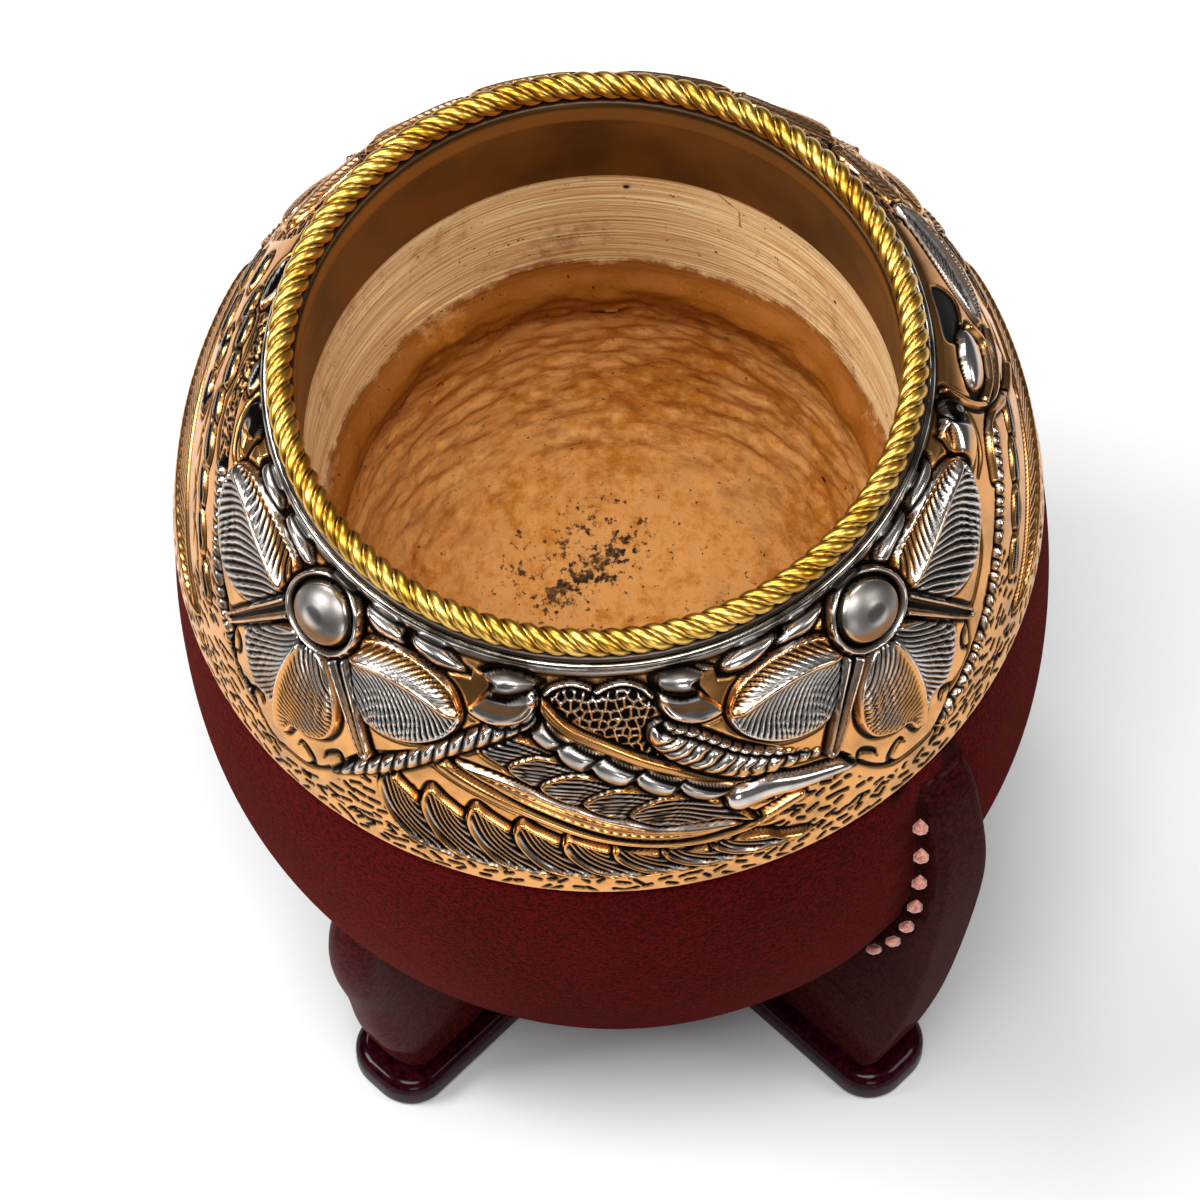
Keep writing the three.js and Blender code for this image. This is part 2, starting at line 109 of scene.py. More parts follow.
SKIN_LENGTH = float(np.hypot(*np.diff(skin(np.linspace(0, 200, 40001)))).sum())


def turned(radius, height, azimuth):
    """Points on circles round the cup's own axis, which leans toward -X. Azimuth 0 is the front
    and 90 degrees the right side, and each array may have rows and columns."""
    turn = np.radians(azimuth)
    x, y, z = np.broadcast_arrays(radius * np.sin(turn), -radius * np.cos(turn), height)
    return np.stack([x * math.cos(LEAN) - z * math.sin(LEAN), y,
                     x * math.sin(LEAN) + z * math.cos(LEAN)], axis=-1)


def surface(name, points, around=True, along=False, caps=False):
    """A mesh from a grid of points in millimetres, with rows that run down the outer side and
    columns that run counter-clockwise seen from above. around joins the last column to the first,
    along joins the last row to the first, and caps closes the two ends with flat faces."""
    rows, columns = points.shape[:2]
    index = np.arange(rows * columns).reshape(rows, columns)
    if around:
        index = np.concatenate([index, index[:, :1]], axis=1)
    if along:
        index = np.concatenate([index, index[:1]], axis=0)
    quads = np.stack([index[:-1, :-1], index[1:, :-1], index[1:, 1:], index[:-1, 1:]], axis=-1)
    faces = quads.reshape(-1, 4).tolist()
    if caps == "rows":
        faces += [index[0, :columns].tolist(), index[-1, :columns][::-1].tolist()]
    elif caps == "columns":
        faces += [index[:rows, 0][::-1].tolist(), index[:rows, -1].tolist()]
    mesh = bpy.data.meshes.new(name)
    mesh.from_pydata((points.reshape(-1, 3) * 0.001).tolist(), [], faces)
    mesh.shade_smooth()
    piece = bpy.data.objects.new(name, mesh)
    bpy.context.scene.collection.objects.link(piece)
    return piece


def close_poles(piece):
    """Merges the points that lie in one place, where a row has shrunk to a pole."""
    work = bmesh.new()
    work.from_mesh(piece.data)
    bmesh.ops.remove_doubles(work, verts=work.verts, dist=1e-7)
    work.to_mesh(piece.data)
    work.free()


def paint(piece, **values):
    """Stores one number for each point of a piece under each name, for its material to read."""
    for name, numbers in values.items():
        layer = piece.data.attributes.new(name, "FLOAT", "POINT")
        layer.data.foreach_set("value", np.ascontiguousarray(numbers, np.float32).ravel())


def step(value, low, high):
    """Goes from 0 at low to 1 at high along an S-curve."""
    share = np.clip((value - low) / (high - low), 0, 1)
    return share * share * (3 - 2 * share)


def cloud(along, round_, cells, seed):
    """Smooth random values from -1 to 1: random numbers on a lattice, joined by S-curves. The
    lattice closes on itself after the given count of cells in its second direction."""
    table = np.random.default_rng(seed).uniform(-1, 1, (97, cells))
    along, round_ = np.broadcast_arrays(along, round_)
    i, j = np.floor(along).astype(int), np.floor(round_).astype(int)
    a, b = step(along - i, 0, 1), step(round_ - j, 0, 1)
    near = table[i % 97, j % cells] * (1 - b) + table[i % 97, (j + 1) % cells] * b
    far = table[(i + 1) % 97, j % cells] * (1 - b) + table[(i + 1) % 97, (j + 1) % cells] * b
    return near * (1 - a) + far * a


def linear(code):
    """An sRGB hex colour as linear red, green, blue and alpha."""
    parts = [int(code[i:i + 2], 16) / 255 for i in (1, 3, 5)]
    return [c / 12.92 if c <= 0.04045 else ((c + 0.055) / 1.055) ** 2.4 for c in parts] + [1]


def add(tree, kind, settings=None, links=None):
    """Adds a node with its settings, which are its own properties or its sockets' values, and
    links other nodes' sockets to its inputs. A colour Mix has its two colours in sockets 6 and 7
    and gives its result in socket 2."""
    node = tree.nodes.new("ShaderNode" + kind)
    for key, value in (settings or {}).items():
        if isinstance(key, str) and hasattr(node, key):
            setattr(node, key, value)
        else:
            node.inputs[key].default_value = value
    for key, source in (links or {}).items():
        tree.links.new(source, node.inputs[key])
    return node


def material(name, sockets):
    """A named material with a Principled shader, whose sockets get the given values."""
    made = bpy.data.materials.new(name)
    made.use_nodes = True
    tree = made.node_tree
    tree.nodes.clear()
    shader = add(tree, "BsdfPrincipled", sockets)
    add(tree, "OutputMaterial", None, {"Surface": shader.outputs[0]})
    return made, tree, shader


gourd_outside = np.linspace(4, SKIN_LENGTH, 22)
out_radius, out_height = skin(gourd_outside, -LEATHER_THICKNESS)
out_radius[-1] = 0
SEAT_RADIUS = COLLAR_RADIUS + COLLAR_WALL + 0.1
bowl_angle = np.radians(np.linspace(90, 0, 40))
inside_radius = np.concatenate([
    BOWL_RADIUS * np.cos(bowl_angle) ** (2 / BOWL_POWER),
    [LEDGE_RADIUS + 0.4, LEDGE_RADIUS, LEDGE_RADIUS + 0.5, BORE_BOTTOM_RADIUS - 0.6, BORE_BOTTOM_RADIUS,
     COLLAR_RADIUS + 0.3, SEAT_RADIUS, SEAT_RADIUS]])
inside_height = np.concatenate([
    BOWL_HEIGHT - (BOWL_HEIGHT - FLOOR_HEIGHT) * np.sin(bowl_angle) ** (2 / BOWL_POWER),
    [LEDGE_HEIGHT - 3, LEDGE_HEIGHT - 0.6, LEDGE_HEIGHT + 0.6, BORE_BOTTOM - 1.6, BORE_BOTTOM,
     COLLAR_BOTTOM - 0.1, COLLAR_BOTTOM, out_height[0]]])
inside_radius[0] = 0
walked = np.concatenate([[0], np.cumsum(np.hypot(np.diff(inside_radius), np.diff(inside_height)))])
even = np.linspace(0, walked[-1], 200)
gourd_azimuth = np.arange(GOURD_COLUMNS) * 360 / GOURD_COLUMNS
radius = np.interp(even, walked, inside_radius)[:, None] + np.zeros(GOURD_COLUMNS)
height = np.interp(even, walked, inside_height)[:, None] + np.zeros(GOURD_COLUMNS)
edge_wave = 0.9 * cloud(3.0, gourd_azimuth / 15, 24, 4) + 0.5 * cloud(7.0, gourd_azimuth / 5, 72, 5)
height_on_wall = height + np.where((height > LEDGE_HEIGHT - 4) & (height < BORE_BOTTOM + 3), edge_wave, 0)
rough = step(height, BORE_BOTTOM - 0.4, BORE_BOTTOM - 2.6)
wall_share = step(height, FLOOR_HEIGHT + 2, FLOOR_HEIGHT + 14)
ripples = (0.34 * cloud(height / 1.5, gourd_azimuth / 6, 60, 1)
           + 0.22 * cloud(height / 0.9, gourd_azimuth / 3.75, 96, 2))
flat_x = radius * np.sin(np.radians(gourd_azimuth))
flat_y = radius * np.cos(np.radians(gourd_azimuth))
crumbs = (0.3 * cloud(flat_x / 3.1 + 40, flat_y / 3.1 + 40, 97, 3)
          + 0.14 * cloud(flat_x / 1.4 + 40, flat_y / 1.4 + 40, 97, 6))
push = rough * (wall_share * ripples + (1 - wall_share) * crumbs)
centre_calm = step(radius, 0, 4)
sideways, upward = np.gradient(height, axis=0), -np.gradient(radius, axis=0)
reach = np.hypot(sideways, upward) + 1e-6
in_points = turned(radius + push * centre_calm * sideways / reach,
                   height_on_wall + push * centre_calm * upward / reach, gourd_azimuth)
out_points = turned(out_radius[:, None], out_height[:, None], gourd_azimuth)
gourd = surface("gourd_inside", np.concatenate([in_points, out_points]))
ledge = step(height, LEDGE_HEIGHT - 11, LEDGE_HEIGHT - 1)
ledge = ledge * (1 - step(height, BORE_BOTTOM - 1, BORE_BOTTOM + 1))
pad = np.zeros((len(out_radius), GOURD_COLUMNS))
paint(gourd, turned=np.concatenate([1 - rough, pad + 1]), ledge=np.concatenate([ledge, pad]),
      wall=np.concatenate([wall_share, pad]))
close_poles(gourd)


def off_line(tree, place, a, b):
    """A node's socket that gives the distance in metres from a straight line between two points."""
    a, b = Vector(a), Vector(b)
    span = b - a
    from_a = add(tree, "VectorMath", {"operation": "SUBTRACT", 1: a}, {0: place}).outputs[0]
    along = add(tree, "VectorMath", {"operation": "DOT_PRODUCT", 1: span / max(span.length_squared, 1e-12)},
                {0: from_a}).outputs["Value"]
    share = add(tree, "Clamp", None, {"Value": along}).outputs[0]
    foot = add(tree, "VectorMath", {"operation": "SCALE", 0: span}, {"Scale": share}).outputs[0]
    return add(tree, "VectorMath", {"operation": "DISTANCE"}, {0: from_a, 1: foot}).outputs["Value"]


def turned_place(x, y):
    """A place on the bowl's floor, in metres, from millimetres in the cup's own frame."""
    reach = math.hypot(x, y)
    rise = (1 - (reach / BOWL_RADIUS) ** BOWL_POWER) ** (1 / BOWL_POWER)
    level = BOWL_HEIGHT - (BOWL_HEIGHT - FLOOR_HEIGHT) * rise
    return Vector(turned(reach, level, math.degrees(math.atan2(x, -y)))) * 0.001


def marked(tree, base, distance, near, far, code, strength=1.0):
    """Mixes a mark's colour into a base colour: all of it up to one distance, none past another."""
    share = add(tree, "MapRange", {"From Min": near, "From Max": far, "To Min": strength, "To Max": 0.0},
                {"Value": distance}).outputs[0]
    return add(tree, "Mix", {"data_type": "RGBA", 7: linear(code)}, {"Factor": share, 6: base}).outputs[2]


# Dried calabash: dull and pale ochre where the lathe cut it, and brown, flaky and matt where bare
wood, tree, shader = material("calabash_turned_and_bare", {"Roughness": 0.66, "Specular IOR Level": 0.14})
place = add(tree, "TexCoord").outputs["Object"]
upright = add(tree, "Mapping", {"Rotation": (0, LEAN, 0)}, {"Vector": place}).outputs[0]
# Rings that the lathe left: 0.4 mm apart and some 15 mm long
rings = add(tree, "Mapping", {"Scale": (70, 70, 2300)}, {"Vector": upright}).outputs[0]
ring_noise = add(tree, "TexNoise", {"Scale": 1, "Detail": 3}, {"Vector": rings}).outputs[0]
broad_rings = add(tree, "Mapping", {"Scale": (25, 25, 420)}, {"Vector": upright}).outputs[0]
broad_noise = add(tree, "TexNoise", {"Scale": 1, "Detail": 2}, {"Vector": broad_rings}).outputs[0]
# Bare pith: large soft blotches, crisp flakes 1 mm wide, and wrinkles that run round the wall
blotches = add(tree, "TexNoise", {"Scale": 80, "Detail": 3, "Roughness": 0.6}, {"Vector": place}).outputs[0]
flakes = add(tree, "TexNoise", {"Scale": 620, "Detail": 6, "Roughness": 0.72}, {"Vector": place}).outputs[0]
stretched = add(tree, "Mapping", {"Scale": (330, 330, 800)}, {"Vector": upright}).outputs[0]
wrinkles = add(tree, "TexNoise", {"Scale": 1, "Detail": 4, "Roughness": 0.6},
               {"Vector": stretched}).outputs[0]
pores = add(tree, "TexNoise", {"Scale": 1300, "Detail": 3}, {"Vector": place}).outputs[0]
turned_share = add(tree, "Attribute", {"attribute_name": "turned"}).outputs["Fac"]
ledge_share = add(tree, "Attribute", {"attribute_name": "ledge"}).outputs["Fac"]
wall_amount = add(tree, "Attribute", {"attribute_name": "wall"}).outputs["Fac"]
ring_tone = add(tree, "MapRange", {"From Min": 0.36, "From Max": 0.64}, {"Value": ring_noise}).outputs[0]
bore_colour = add(tree, "Mix", {"data_type": "RGBA", 6: linear(BORE_RING_HEX), 7: linear(BORE_HEX)},
                  {"Factor": ring_tone})
broad_tone = add(tree, "MapRange", {"From Min": 0.42, "From Max": 0.68, "To Max": 0.5},
                 {"Value": broad_noise})
bore_worn = add(tree, "Mix", {"data_type": "RGBA", 7: linear(BORE_WORN_HEX)},
                {6: bore_colour.outputs[2], "Factor": broad_tone.outputs[0]})
grained = add(tree, "Math", {"operation": "MULTIPLY_ADD", 1: 0.9}, {0: blotches, 2: flakes}).outputs[0]
blotch_tone = add(tree, "MapRange", {"From Min": 0.78, "From Max": 1.12}, {"Value": grained}).outputs[0]
bowl_colour = add(tree, "Mix", {"data_type": "RGBA", 6: linear(BOWL_BLOTCH_HEX), 7: linear(BOWL_HEX)},
                  {"Factor": blotch_tone})
base = add(tree, "Mix", {"data_type": "RGBA"}, {"Factor": turned_share, 6: bowl_colour.outputs[2],
                                               7: bore_worn.outputs[2]})
# The shoulder's brown skin has a ragged edge and is worn through in flakes
worn = add(tree, "Math", {"operation": "MULTIPLY_ADD", 1: 1.9}, {0: grained, 2: ledge_share}).outputs[0]
ledge_tone = add(tree, "MapRange", {"From Min": 1.9, "From Max": 2.65, "To Max": 0.96},
                 {"Value": worn}).outputs[0]
base = add(tree, "Mix", {"data_type": "RGBA", 7: linear(LEDGE_HEX)},
           {"Factor": ledge_tone, 6: base.outputs[2]}).outputs[2]
# Wrinkles are brown only on the wall of the bare bowl
wrinkle_tone = add(tree, "MapRange", {"From Min": 0.36, "From Max": 0.5, "To Min": 0.48, "To Max": 0.0},
                   {"Value": wrinkles}).outputs[0]
bare_share = add(tree, "Math", {"operation": "SUBTRACT"}, {0: wall_amount, 1: turned_share}).outputs[0]
wrinkle_share = add(tree, "Math", {"operation": "MULTIPLY", "use_clamp": True},
                    {0: wrinkle_tone, 1: bare_share}).outputs[0]
base = add(tree, "Mix", {"data_type": "RGBA", 7: linear(WRINKLE_HEX)},
           {"Factor": wrinkle_share, 6: base}).outputs[2]
# Pinholes and a crack in the turned wall, and mould spots on the floor, are all found by distance.
# A noise moves the places from which the crack and the spots are measured by up to 1.2 mm, which
# makes their edges ragged, and the crack is moved by half of that to stay where it is.
WANDER = 0.0012
HALF_WANDER = Vector((WANDER, WANDER, WANDER)) / 2
wander_noise = add(tree, "TexNoise", {"Scale": 500, "Detail": 3}, {"Vector": place}).outputs["Color"]
wander = add(tree, "VectorMath", {"operation": "SCALE", "Scale": WANDER}, {0: wander_noise}).outputs[0]
ragged = add(tree, "VectorMath", {"operation": "ADD"}, {0: place, 1: wander}).outputs[0]


def on_wall(azimuth, level, out=0.0):
    """A place on the inside wall, in metres, at an azimuth and a height."""
    reach = float(np.interp(level, inside_height[:-2], inside_radius[:-2])) + out
    return Vector(turned(reach, level, azimuth)) * 0.001


for azimuth, level, size in PINHOLES:
    spot = on_wall(azimuth, level)
    off = off_line(tree, place, spot, spot)
    base = marked(tree, base, off, size * 0.0006, size * 0.0011, PINHOLE_HEX)
for one, other in zip(CRACK[:-1], CRACK[1:]):
    off = off_line(tree, ragged, on_wall(*one) + HALF_WANDER, on_wall(*other) + HALF_WANDER)
    base = marked(tree, base, off, 0.00006, 0.00022, LEDGE_HEX, 0.8)
dots = add(tree, "TexNoise", {"Scale": 1150, "Detail": 4, "Roughness": 0.66}, {"Vector": place}).outputs[0]
for (x1, y1), (x2, y2), reach, strength in STAINS:
    off = off_line(tree, ragged, turned_place(x1, y1), turned_place(x2, y2))
    fade = add(tree, "MapRange",
               {"From Min": 0.0, "From Max": reach * 0.001, "To Min": strength, "To Max": 0.0},
               {"Value": off}).outputs[0]
    blot = add(tree, "Math", {"operation": "ADD"}, {0: dots, 1: fade}).outputs[0]
    share = add(tree, "MapRange", {"From Min": 0.66, "From Max": 0.74, "To Max": 0.88},
                {"Value": blot}).outputs[0]
    base = add(tree, "Mix", {"data_type": "RGBA", 7: linear(STAIN_HEX)},
               {"Factor": share, 6: base}).outputs[2]
tree.links.new(base, shader.inputs["Base Color"])
# The relief is wrinkles, flakes and pores on the bare wood, and the lathe's rings where it is turned
relief_sum = add(tree, "Math", {"operation": "MULTIPLY_ADD"},
                 {0: wrinkles, 1: wall_amount, 2: flakes}).outputs[0]
bare_relief = add(tree, "Math", {"operation": "MULTIPLY_ADD", 1: 0.4}, {0: pores, 2: relief_sum}).outputs[0]
height_mix = add(tree, "Mix", {"data_type": "FLOAT"},
                 {"Factor": turned_share, 2: bare_relief, 3: ring_noise}).outputs[0]
bump = add(tree, "Bump", {"Strength": 0.55, "Distance": 0.0004}, {"Height": height_mix})
tree.links.new(bump.outputs[0], shader.inputs["Normal"])
gourd.data.materials.append(wood)
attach(gourd, "root")
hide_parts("gourd")

# The leather cover: one vegetable-tanned hide stretched wet over the gourd, dyed burgundy and
# polished, with a fine pebbled grain. Its upper edge is pressed in under the ferrule.
FERRULE_TOP, FERRULE_EDGE, FERRULE_INSIDE = 2.2, 34.0, -0.5
LEATHER_COLUMNS = 540
SEAM_AZIMUTH = 46.0

cover_distance = np.concatenate([np.linspace(3, FERRULE_EDGE - 0.4, 10), [FERRULE_EDGE + 0.1],
                                 np.linspace(FERRULE_EDGE + 0.7, SKIN_LENGTH, 130)])
cover_proud = np.where(cover_distance < FERRULE_EDGE, FERRULE_INSIDE - 0.3, 0)
cover_proud[10] = -0.25
cover_azimuth = np.arange(LEATHER_COLUMNS) * 360 / LEATHER_COLUMNS
beside = (cover_azimuth - SEAM_AZIMUTH + 180) % 360 - 180
cover_radius, _ = skin(cover_distance)
aside = np.radians(beside) * cover_radius[:, None]
in_seam = step(cover_distance, 36, 44)[:, None] * (1 - step(cover_distance, 92, 104))[:, None]
pucker = 0.5 + 0.5 * np.cos((cover_distance[:, None] - 42) / 6.4 * 2 * np.pi)
pull = in_seam * (0.5 * np.exp(-(aside / 6.5) ** 2) + 0.25 * pucker * np.exp(-(aside / 5.5) ** 4))
soft = 0.12 * cloud(cover_distance[:, None] / 14, cover_azimuth / 20, 18, 8)
soft = soft * step(cover_distance, 38, 48)[:, None]
outer_radius, outer_height = skin(cover_distance[:, None], cover_proud[:, None] - pull + soft)
outer_radius[-1], outer_height[-1] = 0, outer_height[-1].mean()
inner_radius, inner_height = skin(np.linspace(SKIN_LENGTH, 3, 24), -1.8)
inner_radius[0] = 0
leather = surface("leather_cover_hide", np.concatenate([
    turned(outer_radius, outer_height, cover_azimuth),
    turned(inner_radius[:, None], inner_height[:, None], cover_azimuth)]), along=True)
close_poles(leather)


def leather_material(name, base_hex, deep_hex, grain_mm, gloss, shine, bump_strength, sheen=0.0, coat=0.0):
    """Polished, dyed leather: grain cells of the given size, with darker dye between them, a warm
    bloom of sheen toward its contours, and a wax coat where it is burnished."""
    made, tree, shader = material(name, {
        "Roughness": gloss, "Specular IOR Level": shine, "Sheen Weight": sheen, "Sheen Roughness": 0.45,
        "Sheen Tint": linear("#C07A68"), "Coat Weight": coat, "Coat Roughness": 0.12, "Coat IOR": 1.3})
    place = add(tree, "TexCoord").outputs["Object"]
    cells = add(tree, "TexVoronoi", {"feature": "F1", "Scale": 1000 / grain_mm}, {"Vector": place})
    folds = add(tree, "TexNoise", {"Scale": 1500, "Detail": 3, "Roughness": 0.6}, {"Vector": place})
    dye = add(tree, "TexNoise", {"Scale": 45, "Detail": 3}, {"Vector": place})
    grain = add(tree, "Math", {"operation": "MULTIPLY_ADD", 1: 0.9},
                {0: cells.outputs["Distance"], 2: folds.outputs[0]})
    mixed = add(tree, "Math", {"operation": "MULTIPLY_ADD", 1: -0.5},
                {0: dye.outputs[0], 2: grain.outputs[0]})
    shade = add(tree, "MapRange", {"From Min": 0.3, "From Max": 0.95, "To Min": 1.0, "To Max": 0.0},
                {"Value": mixed.outputs[0]})
    colour = add(tree, "Mix", {"data_type": "RGBA", 6: linear(deep_hex), 7: linear(base_hex)},
                 {"Factor": shade.outputs[0]})
    tree.links.new(colour.outputs[2], shader.inputs["Base Color"])
    bump = add(tree, "Bump", {"Strength": bump_strength, "Distance": 0.0002, "invert": True},
               {"Height": grain.outputs[0]})
    tree.links.new(bump.outputs[0], shader.inputs["Normal"])
    return made


# Burgundy hide with a fine pebbled grain and a faint gloss. It is pulled into the seam beside the
# tall leg, and painted shade darkens that groove: a nearly black line runs under the stitches, and a short
# one under the ferrule's edge on each side of the leg's top, where the leg meets the hide.
STITCH_COUNTS = (("left", 9), ("right", 7))
SEAM_SHADE_HEX, SEAM_HALF_WIDTHS = "#0C0203", (0.0007, 0.0019)
GAPS = ((-4.9, 35), (4.9, 41))  # from the seam's azimuth, and how far down the skin it ends
hide = leather_material("leather_burgundy_grained", "#52060B", "#2A0305", 0.4, 0.42, 0.0, 0.45, 0.1)
tree = hide.node_tree
shader = tree.nodes["Principled BSDF"]
place = add(tree, "TexCoord").outputs["Object"]
dyed_and_shaded = shader.inputs["Base Color"].links[0].from_socket
# Painted shade: nearly black lines in the seam's groove, under the stitches and beside the leg's top
for side_name, count in STITCH_COUNTS:
    holes = [sum(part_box(f"stitch_{side_name}_{k}"), Vector()) / 2 for k in range(1, count + 1)]
    for one, other in zip(holes[:-1], holes[1:]):
        dyed_and_shaded = marked(tree, dyed_and_shaded, off_line(tree, place, one, other), *SEAM_HALF_WIDTHS, SEAM_SHADE_HEX, 0.9)
for offset, lower_end in GAPS:
    gap = [Vector(turned(*skin(distance), SEAM_AZIMUTH + offset)) * 0.001 for distance in (33, lower_end)]
    dyed_and_shaded = marked(tree, dyed_and_shaded, off_line(tree, place, *gap), *SEAM_HALF_WIDTHS, SEAM_SHADE_HEX, 0.9)
tree.links.new(dyed_and_shaded, shader.inputs["Base Color"])
leather.data.materials.append(hide)
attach(leather, "root")
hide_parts("leather_cover")

# The inner collar: a thin brass sleeve, rolled and soldered, pressed into the bored mouth. Its
# narrow flange lies under the rope, and years of use have dulled and scratched it.
COLLAR_TOP, FLANGE_RADIUS = 115.85, 33.9
CREASE_HEIGHT = 112.7

collar_profile = np.array([
    (COLLAR_RADIUS, COLLAR_BOTTOM), (COLLAR_RADIUS, CREASE_HEIGHT - 0.35),
    (COLLAR_RADIUS - 0.12, CREASE_HEIGHT), (COLLAR_RADIUS, CREASE_HEIGHT + 0.3),
    (COLLAR_RADIUS, COLLAR_TOP - 0.5), (COLLAR_RADIUS + 0.15, COLLAR_TOP - 0.12),
    (COLLAR_RADIUS + 0.5, COLLAR_TOP), (FLANGE_RADIUS, COLLAR_TOP), (FLANGE_RADIUS, COLLAR_TOP - 0.4),
    (COLLAR_RADIUS + COLLAR_WALL, COLLAR_TOP - 0.4), (COLLAR_RADIUS + COLLAR_WALL, COLLAR_BOTTOM)])
collar_azimuth = np.arange(360)
collar_points = turned(collar_profile[:, :1], collar_profile[:, 1:], collar_azimuth)
collar = surface("collar_sleeve", collar_points, along=True)
# Brass sheet that has gone brown and dull: soft smudges, fine scratches that run round it, a lighter strip
# above the crease, and painted shadow, nearly black, under the rope
brass, tree, shader = material("worn_brass_sleeve", {"Metallic": 0.8, "Roughness": 0.4})
place = add(tree, "TexCoord").outputs["Object"]
smudges = add(tree, "TexNoise", {"Scale": 120, "Detail": 5}, {"Vector": place})
smudge_tone = add(tree, "MapRange", {"From Min": 0.35, "From Max": 0.65}, {"Value": smudges.outputs[0]})
colour = add(tree, "Mix", {"data_type": "RGBA", 6: linear("#523814"), 7: linear("#86602A")},
             {"Factor": smudge_tone.outputs[0]})
lip_place = add(tree, "Mapping", {"Rotation": (0, LEAN, 0)}, {"Vector": place}).outputs[0]
lip_height = add(tree, "SeparateXYZ", None, {"Vector": lip_place}).outputs["Z"]
# Painted shadow: the lip just under the rope is darkened nearly to black
lip_shadow = add(tree, "MapRange", {"From Min": 0.1149, "From Max": 0.1156, "To Max": 0.9},
                 {"Value": lip_height})
# A strip above the crease is mixed toward a lighter brass
strip = add(tree, "MapRange", {"From Min": 0.1126, "From Max": 0.1129, "To Max": 0.7},
            {"Value": lip_height})
lighter_strip = add(tree, "Mix", {"data_type": "RGBA", 7: linear("#A8783C")},
             {"Factor": strip.outputs[0], 6: colour.outputs[2]})
shadowed = add(tree, "Mix", {"data_type": "RGBA", 7: linear("#120A04")},
             {"Factor": lip_shadow.outputs[0], 6: lighter_strip.outputs[2]})
tree.links.new(shadowed.outputs[2], shader.inputs["Base Color"])
scratches = add(tree, "Mapping", {"Scale": (150, 150, 1500), "Rotation": (0.2, LEAN, 0)}, {"Vector": place})
scratch_noise = add(tree, "TexNoise", {"Scale": 1, "Detail": 4}, {"Vector": scratches.outputs[0]})
bump = add(tree, "Bump", {"Strength": 0.12, "Distance": 0.0002}, {"Height": scratch_noise.outputs[0]})
tree.links.new(bump.outputs[0], shader.inputs["Normal"])
collar.data.materials.append(brass)
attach(collar, "root")
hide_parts("inner_collar")

# The ferrule: a silver sheet, chased with punches over pitch. Flowers, leaves and stems stand
# proud of it, their veins are cut in, and black patina is left in every recess.
FERRULE_PROUD, RIM_PROUD, RIM_END = 0.5, 0.25, 3.6
SECTORS, SECTOR_COLUMNS, FERRULE_ROWS = 5, 470, 200
columns = SECTORS * SECTOR_COLUMNS
sheet_azimuth = np.arange(columns) * 360 / columns - 180
sheet_distance = np.linspace(FERRULE_TOP, FERRULE_EDGE, FERRULE_ROWS)
relief = np.zeros((FERRULE_ROWS, columns))
patina = np.zeros_like(relief)
silver = np.zeros_like(relief)


def smooth_line(points, closed=False, steps=8):
    """A curve through the given points: each span is a cubic whose slope at a point follows the
    line between its neighbours."""
    p = np.asarray(points, float)
    p = np.concatenate([p[-1:], p, p[:2]] if closed else [2 * p[:1] - p[1:2], p, 2 * p[-1:] - p[-2:-1]])
    s = (np.arange(steps) / steps)[None, :, None]
    a, b, c, d = (p[k:len(p) - 3 + k, None] for k in range(4))
    curve = 2 * b + (c - a) * s + (2 * a - 5 * b + 4 * c - d) * s ** 2
    curve = 0.5 * (curve + (3 * b - a - 3 * c + d) * s ** 3)
    curve = curve.reshape(-1, 2)
    return np.concatenate([curve, curve[:1] if closed else p[-2:-1]])


def patch(points, margin):
    """The part of the sheet round some points, laid flat in millimetres: its rows and columns, the
    flat places of its own points, and the given points' flat places."""
    points = np.asarray(points, float)
    low, high = points.min(0), points.max(0)
    middle = (low + high) / 2
    to_mm = math.radians(1) * float(skin(middle[1])[0])
    reach = (high - low) / 2 + [margin / to_mm, margin]
    rows = np.flatnonzero(np.abs(sheet_distance - middle[1]) <= reach[1])
    first = math.ceil((middle[0] - reach[0] + 180) / 360 * columns)
    last = math.floor((middle[0] + reach[0] + 180) / 360 * columns)
    turns = np.arange(first, last + 1)
    x = ((turns * 360 / columns - 180) - middle[0]) * to_mm
    y = sheet_distance[rows] - middle[1]
    flat = (points - middle) * [to_mm, 1]
    return np.ix_(rows, turns % columns), x[None, :] + 0 * y[:, None], y[:, None] + 0 * x[None, :], flat


def follow(x, y, line):
    """How far each place is from a line, on which side of it, and how far along it."""
    start, leg = line[:-1], np.diff(line, axis=0)
    length = np.hypot(leg[:, 0], leg[:, 1]) + 1e-9
    before = np.concatenate([[0], np.cumsum(length)[:-1]])
    px, py = x[..., None] - start[:, 0], y[..., None] - start[:, 1]
    share = np.clip((px * leg[:, 0] + py * leg[:, 1]) / length ** 2, 0, 1)
    off = np.hypot(px - share * leg[:, 0], py - share * leg[:, 1])
    nearest = off.argmin(-1)[..., None]
    take = lambda values: np.take_along_axis(values, nearest, -1)[..., 0]
    side = np.sign(take(leg[:, 0] * py - leg[:, 1] * px))
    return take(off), side, take(before + share * length), length.sum()


def depth_inside(x, y, outline):
    """How deep each place lies inside a closed outline, and less than 0 outside it."""
    off, _, _, _ = follow(x, y, outline)
    x1, y1 = outline[:-1, 0], outline[:-1, 1]
    x2, y2 = outline[1:, 0], outline[1:, 1]
    crosses = (y1 > y[..., None]) != (y2 > y[..., None])
    at_x = x1 + (y[..., None] - y1) * (x2 - x1) / np.where(y2 == y1, 1e-9, y2 - y1)
    inside = (crosses & (x[..., None] < at_x)).sum(-1) % 2 == 1
    return np.where(inside, off, -off)


def lay(where, depth, height, shine, dark, groove=1.0):
    """Lays a raised form on the sheet where its depth is more than 0, and sinks and blackens a
    thin groove round it."""
    cover = step(depth, -0.12, 0.12)
    ditch = groove * np.exp(-(np.minimum(depth, 0) / 0.5) ** 4) * (1 - cover)
    relief[where] = relief[where] * (1 - cover) + height * cover - 0.3 * ditch
    patina[where] = np.maximum(patina[where] * (1 - cover), 0.97 * ditch) + dark * cover
    silver[where] = silver[where] * (1 - cover) + shine * cover


